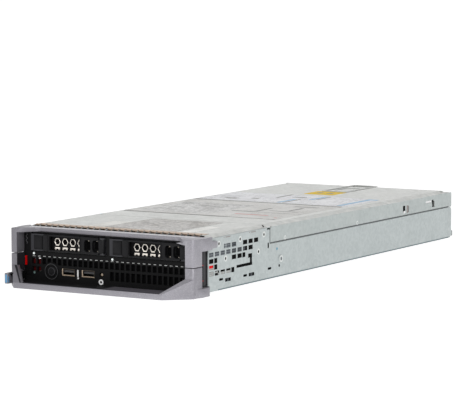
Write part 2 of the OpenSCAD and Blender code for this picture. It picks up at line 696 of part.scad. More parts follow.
module upper_bezel() {
    rail_face = panel_y + 2;
    tail = -lip - 0.3;
    cap = concat([[left_post_x, post_y + 0.4], [left_post_x + 0.4, post_y], [left_in, post_y]],
        blend([left_in + 0.5, post_y], [left_in + 17, rail_face]),
        blend([right_in - 16, rail_face], [right_in - 0.5, post_y]),
        [[right_in, post_y]], arc([post_x - post_r, post_y + post_r], post_r, -90, 0),
        [[post_x, wing_y[0]], [post_x + wrap, wing_y[1]], [post_x + wrap, 1], [post_x + 0.7, 2.4],
        [hw + 0.2, 2.4], [hw + 0.2, tail], [-hw - 0.2, tail], [-hw - 0.2, 2.4],
        [left_post_x - 0.7, 2.4], [left_post_x - wrap, 1], [left_post_x - wrap, wing_y[1]],
        [left_post_x, wing_y[0]]]);
    module wing(x) polygon([[arm_x, tail], [arm_x, post_back], [x, wing_y[0]], [x + wrap, wing_y[1]],
        [x + wrap, 1], [x + 0.7, 2.4], [hw + 0.2, 2.4], [hw + 0.2, tail]]);
    seat() color([0.6, 0.59, 0.62]) {
        along_z(cap_z, bezel_top) polygon(cap);
        along_z(split_z + split_gap / 2, cap_z + eps) right_post_outline();
        along_z(left_split_z + split_gap / 2, cap_z + eps) left_post_outline();
        // wings that wrap round to the side panels, with their ears
        along_z(cap_z - 7.4, cap_z + eps) {
            wing(post_x);
            mirror([1, 0]) wing(-left_post_x);
        }
        both_sides() along_x(hw + 0.2, hw + 1.5) {
            translate([0, cap_z - 6.4]) square([8.5, 6]);
            translate([8.5, cap_z - 3.4]) circle(3);
        }
        // sloped corner under the cap
        along_y(post_y + 0.4, post_back) polygon([[right_in - 9, cap_z + eps], [right_in + eps, cap_z + eps],
            [right_in + eps, cap_z - 1.6]]);
    }
}

module handle_frame() {
    left_corner = left_post_x + 15.9;
    right_corner = post_x - 20;
    plate_z = -handle_drop + 3.2;
    lip_z = -handle_drop + rail_h;
    gusset_z = 13.8;
    left_gusset_z = 14.8;
    outline = [[left_post_x, post_y], [left_corner, rail_y], [right_corner, rail_y], [post_x, post_y - 0.2],
        [post_x, post_back], [left_post_x, post_back]];
    seat() color([0.6, 0.59, 0.62]) difference() {
        union() {
            along_z(-handle_drop, plate_z) polygon(outline);
            along_z(-handle_drop, lip_z) polygon([[left_post_x + 0.2, post_y], [left_corner, rail_y],
                [right_corner, rail_y], [post_x - 0.2, post_y], [post_x - 5, post_y],
                [right_corner - 2, rail_y + rail_lip], [left_corner + 2, rail_y + rail_lip],
                [left_in, post_y]]);
            along_z(-handle_drop, split_z - split_gap / 2) right_post_outline();
            along_z(-handle_drop, left_split_z - split_gap / 2) left_post_outline();
            // gussets from the posts down to the ends of the rail
            hull() {
                block([right_in, post_x - 0.3], [post_y, post_y + 4], [-handle_drop, gusset_z]);
                block([right_corner - 3, right_corner], [rail_y, rail_y + rail_lip], [-handle_drop, lip_z]);
            }
            hull() {
                block([left_post_x + 0.3, left_in], [post_y, post_y + 4], [-handle_drop, left_gusset_z]);
                block([left_corner, left_corner + 8], [rail_y, rail_y + rail_lip], [-handle_drop, lip_z]);
            }
            // hinge foot, and the foot at the release end
            along_z(-handle_drop, foot_top) {
                polygon([[hinge.x - 4, jaw_y[0] + 2], [post_x, jaw_y[0]], [post_x + wrap, jaw_y[1]],
                    [post_x + wrap, -3.4], [hinge.x + 4, -3.4], [hinge.x - 4, hinge.y]]);
                translate(hinge) circle(hinge_foot_r);
                polygon([[-hinge.x - 2, panel_y - 2], [left_post_x, panel_y - 3],
                    [left_post_x - wrap, wing_y[1]], [left_post_x - wrap, -4], [left_post_x, -lip - 0.6],
                    [-hinge.x - 2, -lip - 0.6]]);
            }
        }
        // slot for the ear of the base pan, closed on the outer side
        along_z(-0.1, pan_t + 0.3) intersection() {
            translate(hinge) circle(hinge_foot_r + 1.6);
            translate([0, hinge.y - 10]) square([post_x + wrap - 1.3, 20]);
        }
        translate([hinge.x, hinge.y, -handle_drop - 1]) cylinder(r = hinge_pin_r + pin_gap, h = 12);
        // pocket for the release button and the way of its hook
        block([left_post_x - 1, release_pin.x + 3.2], [post_y - 14, release_pin.y + 3.4], [-0.8, 9]);
        block([left_post_x - 1, release_pin.x + 5.4], [post_y - 14, post_y - 3.5], [-0.8, 9]);
        block([release_pin.x - 4.2, release_pin.x + 1.6], [release_pin.y, post_back + 1], [2.6, 6.6]);
        block([release_pin.x - 0.6, left_in + 0.1], [panel_y - 3.5, post_back + 1], [2.6, 6.6]);
        translate([release_pin.x, release_pin.y, -handle_drop + 0.8]) cylinder(r = 0.82, h = 11.6);
    }
}

module handle_pivot_pin() {
    seat() color("silver") translate([hinge.x, hinge.y, -handle_drop + 0.3]) {
        cylinder(r = hinge_pin_r, h = handle_drop + panel_foot_z + 2.4);
    }
}

module release_button_pin() {
    seat() color("silver") translate([release_pin.x, release_pin.y, -handle_drop + 0.9])
        cylinder(r = 0.8, h = 11.4);
}

// Squeezed sideways, it turns on its pin and the hook at its tail leaves the keeper
module release_button() {
    pad = [[-2.4, -13.4], [-1.2, -14.2], [1, -14.2], [1.6, -13.4], [1.6, -6], [2.3, 0], [-2.3, 0],
        [-2.4, -6]];
    seat() color([0.6, 0.59, 0.62]) translate([release_pin.x, release_pin.y, 0]) difference() {
        union() {
            along_z(-0.5, 8.7) polygon(pad);
            translate([0, 0, -0.5]) cylinder(r = 2.3, h = 9.2);
            along_z(3, 6.2)
                polygon([[-1.4, 0], [1.2, 0], [1.2, 7.2], [hook_x, 7.2], [hook_x, 9], [-1.4, 9]]);
        }
        translate([0, 0, -1]) cylinder(r = 0.8 + pin_gap, h = 12);
        // scooped thumb rest, with a thin wall left on the outer side
        along_x(-1.3, 3) intersection() {
            translate([0.5, 14.5]) circle(13.3);
            translate([-20, -1]) square([17.2, 20]);
        }
    }
}

// ---- cover ----

lance_y = [back_y - 109, back_y - 101, back_y - 44];

module top_cover() {
    plateau_end = back_y - 15;
    cup_x = latch_cup_w / 2 + fit_gap;
    seat() color("gainsboro") difference() {
        union() {
            along_y(cover_y, flange_y) intersection() {
                top_outline(hw, shoulder_z - 0.5);
                translate([-hw, shoulder_z - 0.5]) square([2 * hw, 10]);
            }
            difference() {
                along_y(flange_y, back_y) top_outline(hw, flange_z);
                along_x(-hw - 1, hw + 1) polygon([[plateau_end, chassis_h + 1], [plateau_end, chassis_h],
                    [plateau_end + 4, shoulder_z], [back_y + 1, shoulder_z], [back_y + 1, chassis_h + 1]]);
                // top corner of the flange's front edge
                both_sides() along_x(hw - 3, hw + 1) polygon([[flange_y - 1, shoulder_z - 3],
                    [flange_y - 1, shoulder_z + 0.2], [flange_y + 2, shoulder_z + 0.2]]);
            }
            // closed step at the rear, and a short rear flange
            along_x(-hw + bevel_w / 2, hw - bevel_w / 2) polygon([[plateau_end - 2, chassis_h - sheet_t],
                [plateau_end - 2, chassis_h - eps], [plateau_end, chassis_h - eps],
                [plateau_end + 4, shoulder_z], [back_y, shoulder_z], [back_y, shoulder_z - 6],
                [back_y - 1, shoulder_z - 6],
                [back_y - 1, shoulder_z - sheet_t], [plateau_end + 3, shoulder_z - sheet_t]]);
            // tongue that slips under the front top plate
            along_x(-hw + bevel_w + 6, hw - bevel_w - 6) polygon([[cover_y - 6, chassis_h - sheet_t - 0.2],
                [cover_y, chassis_h - sheet_t - 0.2], [cover_y, chassis_h - eps],
                [cover_y + 1.6, chassis_h - eps], [cover_y + 1.6, chassis_h - 2 * sheet_t - 0.2],
                [cover_y - 6, chassis_h - 2 * sheet_t - 0.2]]);
        }
        along_z(chassis_h - 5, chassis_h + 1) translate([-cup_x, latch_y - fit_gap])
            soft_rect(2 * cup_x, latch_cup_len + 2 * fit_gap, 3);
        // lanced hooks in the side flanges
        both_sides() for (y = lance_y) block([hw - 2, hw + 1], [y, y + 5], [flange_z + 3.2, flange_z + 9.2]);
        both_sides() along_x(hw - 2, hw + 1) polygon([[back_y + 1, flange_z + 2], [back_y + 1, flange_z - 1],
            [back_y - 2, flange_z - 1]]);
    }
    // tongue bent out between the last two cuts
    seat() color("gainsboro") both_sides() along_z(flange_z + 5, flange_z + 8)
        polygon([[hw - 0.3, lance_y[2] - 15], [hw, lance_y[2] - 15], [hw + 0.8, lance_y[2] - 13],
            [hw + 0.8, lance_y[2] - 2], [hw - 0.3, lance_y[2] - 2]]);
}

module latch_cup() {
    wall = 1.2;
    x = latch_cup_w / 2;
    floor_z = chassis_h - latch_cup_depth;
    seat() color([0.35, 0.36, 0.38]) difference() {
        union() {
            along_z(floor_z, chassis_h + 0.04) translate([-x, latch_y]) soft_rect(2 * x, latch_cup_len, 3);
            along_z(chassis_h + 0.03, chassis_h + 0.6) translate([-x - 1.5, latch_y - 1.5])
                soft_rect(2 * x + 3, latch_cup_len + 3, 4);
        }
        along_z(floor_z + wall, chassis_h + 1) translate([-x + wall, latch_y + wall])
            soft_rect(2 * x - 2 * wall, latch_cup_len - 2 * wall, 2);
        translate([-x + 0.4, lever_axis[0], lever_axis[1]]) rotate([0, 90, 0])
            cylinder(r = latch_pin_r + 0.02, h = 2 * x - 0.8);
    }
}

module latch_pin() {
    x = latch_cup_w / 2 - 0.5;
    seat() color("silver") translate([-x, lever_axis[0], lever_axis[1]]) rotate([0, 90, 0])
        cylinder(r = latch_pin_r, h = 2 * x);
}

module latch_lever() {
    x = latch_cup_w / 2 - 1.2 - 0.7;
    tip = latch_y + 8;
    top = chassis_h - 0.1;
    seat() color([0.45, 0.46, 0.48]) difference() {
        union() {
            along_x(-x, x) polygon([[tip, top], [tip, top - 1.6], [tip + 1.5, top - 3], [tip + 3, top - 1.8],
                [lever_axis[0] - 6, top - 1.8], [lever_axis[0], lever_axis[1] - latch_barrel_r],
                [lever_axis[0], top - 0.7], [lever_axis[0] - 4, top]]);
            translate([-x, lever_axis[0], lever_axis[1]]) rotate([0, 90, 0])
                cylinder(r = latch_barrel_r, h = 2 * x);
        }
        translate([-x - 1, lever_axis[0], lever_axis[1]]) rotate([0, 90, 0])
            cylinder(r = latch_pin_r + pin_gap, h = 2 * x + 2);
        along_z(top - 0.6, top + 1) translate([-x + 3, tip + 6]) soft_rect(2 * x - 6, 30, 2);
    }
}

// ---- boards and what they carry ----

module main_board() {
    seat() color("darkgreen") difference() {
        block([-board_x, board_x], [board_y, board_end], [board_z, board_top]);
        for (s = board_spots) translate([s.x, s.y, board_z - 1]) cylinder(r = 1.6, h = board_t + 2);
        block([-board_x - 1, -board_x + 12], [board_end - 20, board_end + 1], [board_z - 1, board_top + 1]);
    }
}

board_rows = [board_y + 6, board_y + 183, board_end - 75];
board_spots = concat([for (x = [-board_x + 4, board_x - 4], y = board_rows) [x, y]],
    [[0, board_rows[1]], [0, board_rows[2]]]);

module standoffs() {
    seat() color("silver") for (s = board_spots) translate([s.x, s.y, pan_t]) difference() {
        cylinder(r = 3, h = standoff_h, $fn = 6);
        translate([0, 0, 1]) cylinder(r = 1.25, h = standoff_h);
    }
}

module board_screws() {
    seat() color("silver") for (s = board_spots) translate([s.x, s.y, board_top]) difference() {
        union() {
            rotate_extrude() polygon(concat([[0, 0], [3, 0]], arc([1.6, 0.4], 1.4, 0, 90), [[0, 1.8]]));
            translate([0, 0, -3.4]) cylinder(r = 1.2, h = 3.5);
        }
        for (a = [0, 90]) rotate(a) block([-1.6, 1.6], [-0.25, 0.25], [1.1, 2]);
    }
}

sink_x = -board_x / 2 + 1;
sink_y = [board_y + 16, board_y + 16 + sink_len + 26];
socket_w = 44;
socket_h = 3;
cpu_w = 35;
cpu_h = 2.5;

module at_sinks() for (y = sink_y) translate([sink_x, y + sink_len / 2, board_top]) children();

module cpu_sockets() {
    seat() color([0.85, 0.83, 0.76]) at_sinks() difference() {
        block([-socket_w / 2, socket_w / 2], [-socket_w / 2, socket_w / 2], [0, socket_h]);
        block([-cpu_w / 2 - 0.1, cpu_w / 2 + 0.1], [-cpu_w / 2 - 0.1, cpu_w / 2 + 0.1], [1, socket_h + 1]);
    }
}

module processors() {
    seat() color([0.72, 0.72, 0.7]) at_sinks() {
        block([-cpu_w / 2, cpu_w / 2], [-cpu_w / 2, cpu_w / 2], [1, socket_h]);
        along_z(socket_h - eps, socket_h + cpu_h) translate([-15, -15]) soft_rect(30, 30, 2);
    }
}

// A finned block whose fins run along Y, with its four corners free for the screws
module finned(w, l, base, h, pitch, fin_t, corner) {
    count = floor((w - fin_t) / pitch);
    margin = (w - fin_t - count * pitch) / 2;
    difference() {
        along_y(-l / 2, l / 2) translate([-w / 2, 0]) {
            square([w, base]);
            for (i = [0:count]) translate([margin + i * pitch, base - eps]) square([fin_t, h - base]);
        }
        for (x = [-1, 1], y = [-1, 1])
            translate([x * (w / 2 - corner / 2), y * (l / 2 - corner / 2), base + h / 2])
            cube([corner + eps, corner + eps, h], center = true);
    }
}

module heat_sinks() {
    z = socket_h + cpu_h;
    seat() color([0.8, 0.8, 0.8]) at_sinks() translate([0, 0, z]) difference() {
        finned(sink_w, sink_len, 4, shoulder_z - 4 - board_top - z, fin_pitch, 0.6, 9);
        for (x = [-1, 1], y = [-1, 1]) translate([x * (sink_w / 2 - 4.5), y * (sink_len / 2 - 4.5), -1])
            cylinder(r = 2, h = 6);
    }
}

module heat_sink_screws() {
    z = socket_h + cpu_h;
    seat() color("silver") at_sinks() for (x = [-1, 1], y = [-1, 1])
        translate([x * (sink_w / 2 - 4.5), y * (sink_len / 2 - 4.5), 0]) difference() {
            union() {
                cylinder(r = 1.8, h = z + 4.2);
                translate([0, 0, z + 4.1]) cylinder(r = 3.4, h = 3);
            }
            translate([0, 0, z + 5.6]) cylinder(r = 1.6, h = 3, $fn = 6);
        }
}

dimm_len = 133.35;
dimm_y = board_y + 26;
function dimm_x(i) = board_x - 10.3 - i * dimm_pitch;

module dimm_sockets() {
    seat() color([0.2, 0.2, 0.22]) for (i = [0:dimm_count - 1]) translate([dimm_x(i), dimm_y, board_top])
        difference() {
            union() {
                block([-3.2, 3.2], [-2, dimm_len + 2], [0, 6]);
                for (y = [-7, dimm_len + 1]) block([-3.2, 3.2], [y, y + 6], [0, 12]);
            }
            block([-0.85, 0.85], [-0.2, dimm_len + 0.2], [2, 20]);
        }
}

module memory_modules() {
    seat() color("darkgreen") for (i = [0:dimm_count - 1]) translate([dimm_x(i), dimm_y, board_top + 2.1]) {
        block([-0.65, 0.65], [0, dimm_len], [0, 30]);
        for (j = [0:7]) block([-1.8, 1.8], [6 + j * 15.6, 16.5 + j * 15.6], [14, 26]);
    }
}

module chipset_heat_sink() {
    seat() color([0.75, 0.75, 0.76]) translate([44, board_end - 98, board_top])
        finned(38, 38, 3, 14, 3.8, 1.2, 4);
}

module board_parts() {
    module choke(x, y) translate([x - 5, y - 5, board_top]) cube([10, 10, 7]);
    module can(x, y) translate([x, y, board_top]) cylinder(r = 4, h = 9);
    module chip(x, y, w, l) translate([x - w / 2, y - l / 2, board_top]) cube([w, l, 1.4]);
    seat() color([0.3, 0.3, 0.33]) {
        for (i = [0:4]) choke(-69 + i * 14, sink_y[0] + sink_len + 8);
        for (i = [0:3]) can(-62 + i * 14, sink_y[0] + sink_len + 19);
        for (i = [0:3]) choke(-65 + i * 16, sink_y[1] + sink_len + 12);
        chip(60, board_y + 12, 20, 14);
        chip(-50, board_y + 8, 14, 12);
        chip(6, sink_y[1] + sink_len + 24, 24, 24);
    }
}

module coin_cell() {
    seat() color("silver") translate([-board_x + 18, board_end - 108, board_top]) {
        rotate_extrude() polygon([[0, 0.6], [9, 0.6], [10, 1.2], [10, 3.4], [9.4, 3.8], [0, 3.8]]);
        difference() {
            cylinder(r = 12, h = 2);
            translate([0, 0, 0.5]) cylinder(r = 10.1, h = 3);
            block([-13, 13], [6, 13], [1, 3]);
        }
    }
}

mezz_x = 46;
mezz_y = board_end - 68;
mezz_z = 24;

module mezzanine_cards() {
    seat() color("darkgreen") both_sides() {
        block([mezz_x - 34, mezz_x + 36], [mezz_y, mezz_y + 58], [mezz_z, mezz_z + board_t]);
        translate([mezz_x, mezz_y + 30, mezz_z + board_t]) {
            block([-15, 15], [-15, 15], [-eps, 1.6]);
            translate([0, 0, 1.6 - eps]) finned(28, 28, 2, 9, 3.5, 1, 3);
        }
    }
}

module mezzanine_connectors() {
    seat() color([0.15, 0.15, 0.16]) both_sides() {
        block([mezz_x - 26, mezz_x + 26], [mezz_y + 6, mezz_y + 14], [board_top, mezz_z]);
        for (x = [mezz_x - 30, mezz_x + 32]) translate([x, mezz_y + 52, board_top])
            cylinder(r = 2.5, h = mezz_z - board_top, $fn = 6);
    }
}

// Rear blocks: X centre, lower Z, width and height
guide_x = board_x - 9;
guide_w = 11;
guide_z = 12;
rear_blocks = [[-46, 10, 44, 22], [46, 10, 44, 22], [0, 10, 30, 16], [-guide_x, guide_z, guide_w, guide_w],
    [guide_x, guide_z, guide_w, guide_w]];

module rear_connectors() {
    y0 = board_end - 8;
    y1 = back_y + 3;
    seat() color([0.15, 0.15, 0.16]) difference() {
        union() {
            for (c = [rear_blocks[0], rear_blocks[1], rear_blocks[2]])
                block([c[0] - c[2] / 2, c[0] + c[2] / 2], [y0 + 1, y1], [c[1], c[1] + c[3]]);
            block([-guide_x - guide_w / 2, guide_x + guide_w / 2], [y0, y0 + 4], [board_top, 24]);
            block([-guide_x + guide_w / 2, guide_x - guide_w / 2], [y0 + 3, board_end + 4], [board_top, 12]);
        }
        // rows of contact cells
        for (c = [rear_blocks[0], rear_blocks[1]], i = [0:7], j = [0:3])
            block([c[0] - 20 + i * 5, c[0] - 17 + i * 5], [y1 - 6, y1 + 1],
                [c[1] + 2 + j * 5, c[1] + 4.6 + j * 5]);
        for (i = [0:4]) block([-12.6 + i * 5.2, -9.2 + i * 5.2], [y1 - 8, y1 + 1], [13, 23]);
    }
}

// Blocks at both ends of the rear connectors, with the bores for the enclosure's guide pins
module guide_sockets() {
    y0 = board_end - 4;
    y1 = back_y + 3;
    seat() color([0.15, 0.15, 0.16]) both_sides() difference() {
        block([guide_x - guide_w / 2, guide_x + guide_w / 2], [y0, y1], [guide_z, guide_z + guide_w]);
        translate([guide_x, y1 + 1, guide_z + guide_w / 2]) rotate([90, 0, 0])
            cylinder(r = guide_bore_r, h = guide_bore_len + 1);
    }
}

module rear_guides() {
    seat() color([0.3, 0.3, 0.32]) both_sides() difference() {
        along_z(pan_t, pan_t + 5) polygon([[inner_x - 7, back_y - 20], [inner_x - 0.1, back_y - 20],
            [inner_x - 0.1, back_y + 5], [inner_x - 2, back_y + 8], [inner_x - 5, back_y + 8],
            [inner_x - 7, back_y + 5]]);
        translate([inner_x - 3.5, back_y - 12, 0]) cylinder(r = 1.5, h = 12);
    }
}

base_pan();
right_side_panel();
left_side_panel();
front_top_plate();
rear_panel();
emi_strips();
side_screws();
front_panel();
bay_frame();
handle_catch();
upper_bezel();
status_lights();
usb_shells();
usb_tongues();
front_io_board();
power_switch();
lock_strip();
drive_cage();
drive_backplane();
backplane_connectors();
main_board();
standoffs();
board_screws();
cpu_sockets();
processors();
heat_sinks();
heat_sink_screws();
dimm_sockets();
memory_modules();
chipset_heat_sink();
board_parts();
coin_cell();
mezzanine_cards();
mezzanine_connectors();
rear_connectors();
guide_sockets();
rear_guides();
handle_pivot_pin();
top_cover();
latch_cup();
latch_pin();
latch_lever();
handle_frame();
release_button_pin();
release_button();
power_button();
left_drive_carrier();
left_hard_drive();
left_carrier_mesh();
left_lever_pin();
left_carrier_lever();
left_carrier_button();
right_drive_carrier();
right_hard_drive();
right_carrier_mesh();
right_lever_pin();
right_carrier_lever();
right_carrier_button();
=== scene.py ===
import math

import bmesh
import bpy
import numpy as np
from mathutils import Matrix, Vector


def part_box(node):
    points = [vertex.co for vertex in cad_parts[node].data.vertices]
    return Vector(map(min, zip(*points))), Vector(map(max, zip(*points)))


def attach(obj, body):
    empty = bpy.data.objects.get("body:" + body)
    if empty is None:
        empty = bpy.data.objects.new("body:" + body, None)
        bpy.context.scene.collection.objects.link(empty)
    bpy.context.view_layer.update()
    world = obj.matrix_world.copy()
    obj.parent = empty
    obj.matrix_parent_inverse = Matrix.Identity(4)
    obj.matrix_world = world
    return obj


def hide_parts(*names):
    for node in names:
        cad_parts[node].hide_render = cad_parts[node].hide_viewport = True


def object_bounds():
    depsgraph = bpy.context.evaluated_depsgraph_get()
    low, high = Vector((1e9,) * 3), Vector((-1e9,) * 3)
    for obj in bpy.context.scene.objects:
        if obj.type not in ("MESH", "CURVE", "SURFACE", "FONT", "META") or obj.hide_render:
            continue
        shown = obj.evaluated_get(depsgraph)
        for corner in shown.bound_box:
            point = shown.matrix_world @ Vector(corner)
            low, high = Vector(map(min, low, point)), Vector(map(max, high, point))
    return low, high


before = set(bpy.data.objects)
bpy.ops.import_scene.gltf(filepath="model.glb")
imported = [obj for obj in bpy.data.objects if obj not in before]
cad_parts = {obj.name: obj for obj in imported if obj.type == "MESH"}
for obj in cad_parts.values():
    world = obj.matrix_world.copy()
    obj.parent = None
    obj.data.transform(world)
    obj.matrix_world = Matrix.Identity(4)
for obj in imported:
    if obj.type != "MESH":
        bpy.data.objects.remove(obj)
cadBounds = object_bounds()
print("frame loaded:", len(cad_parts), "nodes")

mm = 0.001
topLip = 1.6 * mm                  # from the front top plate's edge back to the line where y is 0
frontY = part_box("front_top_plate")[0].y + topLip


# A screen colour, 0 to 255 each, as the linear colour that a shader wants
def paint(red, green, blue):
    s = np.array([red, green, blue]) / 255
    linear = np.where(s <= 0.04045, s / 12.92, ((s + 0.055) / 1.055) ** 2.4)
    return (*linear.tolist(), 1.0)


# Links a socket into another, or gives it a plain value; None leaves it as it is
def fill(socket, value):
    if isinstance(value, bpy.types.NodeSocket):
        socket.id_data.links.new(value, socket)
    elif value is not None:
        socket.default_value = value


# One node: settings are its properties, inputs are values or sockets by the input's name
def addNode(tree, kind, settings=None, **inputs):
    node = tree.nodes.new(kind)
    for key, value in (settings or {}).items():
        setattr(node, key, value)
    for key, value in inputs.items():
        fill(node.inputs[key.replace("_", " ")], value)
    return node


# One step of arithmetic on a and b
def maths(tree, operation, a, b=None):
    node = tree.nodes.new("ShaderNodeMath")
    node.operation = operation
    fill(node.inputs[0], a)
    fill(node.inputs[1], b)
    return node.outputs[0]


# Value between low and high, carried in a straight line to between newLow and newHigh
def remap(tree, value, low, high, newLow, newHigh):
    node = addNode(tree, "ShaderNodeMapRange", Value=value)
    for i, v in enumerate((low, high, newLow, newHigh)):
        node.inputs[i + 1].default_value = v
    return node.outputs[0]


# a + factor * (b - a)
def blendColours(tree, factor, a, b):
    node = tree.nodes.new("ShaderNodeMix")
    node.data_type = "RGBA"
    fill(node.inputs[0], factor)
    fill(node.inputs[6], a)
    fill(node.inputs[7], b)
    return node.outputs[2]


# A node group with named float inputs and outputs; its first input is always the position
def newGroup(name, inputs, outputs):
    tree = bpy.data.node_groups.new(name, "ShaderNodeTree")
    tree.interface.new_socket("Position", in_out="INPUT", socket_type="NodeSocketVector")
    for key, value in inputs.items():
        socket = tree.interface.new_socket(key, in_out="INPUT", socket_type="NodeSocketFloat")
        socket.default_value = value
    for key in outputs:
        tree.interface.new_socket(key, in_out="OUTPUT", socket_type="NodeSocketFloat")
    return tree, tree.nodes.new("NodeGroupInput").outputs, tree.nodes.new("NodeGroupOutput").inputs


# A copy of the group in a material, with its own values
def placeGroup(tree, group, position, **inputs):
    node = tree.nodes.new("ShaderNodeGroup")
    node.node_tree = group
    fill(node.inputs["Position"], position)
    for key, value in inputs.items():
        fill(node.inputs[key.replace("_", " ")], value)
    return node.outputs


# Zinc flowers of galvanized sheet: cells of slightly different grey, with fine rolling lines
def makeSpangle():
    tree, given, out = newGroup("spangle", {"Scale": 260.0, "Grain": 1.0}, ("Shade", "Height"))
    cells = addNode(tree, "ShaderNodeTexVoronoi", Vector=given["Position"], Scale=given["Scale"])
    cellTone = addNode(tree, "ShaderNodeSeparateColor", Color=cells.outputs["Color"])
    cloud = addNode(tree, "ShaderNodeTexNoise", Vector=given["Position"], Scale=45.0, Detail=4.0)
    grain = addNode(tree, "ShaderNodeTexNoise", Vector=given["Position"], Scale=2200.0, Detail=2.0)
    tone = maths(tree, "MULTIPLY", cellTone.outputs[0], 0.45)
    tone = maths(tree, "ADD", tone, maths(tree, "MULTIPLY", cloud.outputs[0], 0.55))
    fill(out["Shade"], tone)
    fine = maths(tree, "MULTIPLY", grain.outputs[0], given["Grain"])
    fill(out["Height"], maths(tree, "ADD", fine, maths(tree, "MULTIPLY", cellTone.outputs[1], 0.4)))
    return tree


# Moulded surface: fine bumps, and bright flecks where metal powder shows
def makeMould():
    tree, given, out = newGroup("mouldedSkin", {"Scale": 900.0, "Fleck": 0.5}, ("Fleck", "Height"))
    skin = addNode(tree, "ShaderNodeTexNoise", Vector=given["Position"], Scale=given["Scale"],
                   Detail=3.0)
    powder = addNode(tree, "ShaderNodeTexVoronoi", Vector=given["Position"], Scale=1500.0)
    spark = addNode(tree, "ShaderNodeSeparateColor", Color=powder.outputs["Color"])
    bright = remap(tree, spark.outputs[0], 0.55, 1.0, 0.0, 1.0)
    fill(out["Fleck"], maths(tree, "MULTIPLY", bright, given["Fleck"]))
    fill(out["Height"], skin.outputs[0])
    return tree


# Handling: broad dull smears and thin scratches
def makeHandling():
    tree, given, out = newGroup("handling", {"Scale": 30.0, "Scratches": 0.5}, ("Smear", "Scratch"))
    smear = addNode(tree, "ShaderNodeTexNoise", Vector=given["Position"], Scale=given["Scale"],
                    Detail=6.0, Distortion=0.6)
    fill(out["Smear"], remap(tree, smear.outputs[0], 0.42, 0.72, 0.0, 1.0))
    stretched = addNode(tree, "ShaderNodeMapping", Vector=given["Position"])
    stretched.inputs["Rotation"].default_value = (0.3, 0.2, 0.9)
    stretched.inputs["Scale"].default_value = (1.0, 22.0, 22.0)
    line = addNode(tree, "ShaderNodeTexNoise", Vector=stretched.outputs[0], Scale=35.0, Detail=2.0)
    thin = remap(tree, line.outputs[0], 0.68, 0.72, 0.0, 1.0)
    fill(out["Scratch"], maths(tree, "MULTIPLY", thin, given["Scratches"]))
    return tree


# Rows of short dashes like fine print, drawn from the position's X and Y
def makeFinePrint():
    tree, given, out = newGroup("finePrint", {"Row": 2.6, "Dash": 7.0, "Thickness": 0.42,
                                              "Cover": 0.6}, ("Ink",))
    place = addNode(tree, "ShaderNodeSeparateXYZ", Vector=given["Position"])
    row = maths(tree, "DIVIDE", maths(tree, "MULTIPLY", place.outputs[1], 1000.0), given["Row"])
    rowNumber = maths(tree, "FLOOR", row)
    inRow = maths(tree, "LESS_THAN", maths(tree, "FRACT", row), given["Thickness"])
    shift = addNode(tree, "ShaderNodeTexWhiteNoise", {"noise_dimensions": "1D"}, W=rowNumber)
    along = maths(tree, "DIVIDE", maths(tree, "MULTIPLY", place.outputs[0], 1000.0), given["Dash"])
    along = maths(tree, "ADD", along, maths(tree, "MULTIPLY", shift.outputs[0], 9.0))
    cell = addNode(tree, "ShaderNodeCombineXYZ", X=maths(tree, "FLOOR", along), Y=rowNumber)
    word = addNode(tree, "ShaderNodeTexWhiteNoise", {"noise_dimensions": "2D"},
                   Vector=cell.outputs[0])
    wordLength = maths(tree, "MULTIPLY", word.outputs[0], 0.9)
    drawn = maths(tree, "LESS_THAN", maths(tree, "FRACT", along), wordLength)
    block = addNode(tree, "ShaderNodeTexNoise", Vector=given["Position"], Scale=42.0, Detail=1.0)
    inBlock = maths(tree, "LESS_THAN", block.outputs[0], given["Cover"])
    fill(out["Ink"], maths(tree, "MULTIPLY", maths(tree, "MULTIPLY", inRow, drawn), inBlock))
    return tree


skinDepth = {"sheet": 0.08 * mm, "moulded": 0.08 * mm, "plated": 0.05 * mm, "board": 0.1 * mm,
             "paper": 0.05 * mm, "ink": 0.03 * mm}
flankX = 92.7                      # mm from the middle, past which metal belongs to a flange
spangle = makeSpangle()
mouldedSkin = makeMould()
handling = makeHandling()
finePrint = makeFinePrint()


# An empty material, with its shader and the position on the piece
def startMaterial(name):
    material = bpy.data.materials.new(name)
    material.use_nodes = True
    tree = material.node_tree
    shader = tree.nodes["Principled BSDF"]
    position = tree.nodes.new("ShaderNodeTexCoord").outputs["Object"]
    return material, tree, shader, position


# The height tilts the normal, over distance metres
def addBump(tree, shader, height, strength, distance):
    bump = addNode(tree, "ShaderNodeBump", Height=height, Strength=strength, Distance=distance)
    fill(shader.inputs["Normal"], bump.outputs[0])


# Zinc colour between dark and light by the flowers' shade, smeared dark and scratched light
def sheetMetal(name, light, dark, rough=(0.38, 0.55), scale=420.0, flank=None):
    material, tree, shader, position = startMaterial(name)
    zinc = placeGroup(tree, spangle, position, Scale=scale)
    marks = placeGroup(tree, handling, position, Scale=22.0, Scratches=0.35)
    tone = blendColours(tree, zinc["Shade"], dark, light)
    if flank:
        # the folded flanges of the cover are painted in the sides' darker, bluer tone: painted
        # shade on the faces that look sideways
        place = addNode(tree, "ShaderNodeSeparateXYZ", Vector=position)
        fromMiddle = maths(tree, "ABSOLUTE", place.outputs[0])
        outside = maths(tree, "GREATER_THAN", fromMiddle, flankX * mm)
        flankShadeTone = blendColours(tree, zinc["Shade"], flank[1], flank[0])
        tone = blendColours(tree, outside, tone, flankShadeTone)
    tone = blendColours(tree, maths(tree, "MULTIPLY", marks["Smear"], 0.14), tone, dark)
    fill(shader.inputs["Base Color"], blendColours(tree, marks["Scratch"], tone, light))
    fill(shader.inputs["Metallic"], 0.45)
    fill(shader.inputs["Roughness"], remap(tree, zinc["Shade"], 0.2, 0.8, rough[1], rough[0]))
    addBump(tree, shader, zinc["Height"], 0.07, skinDepth["sheet"])
    return material


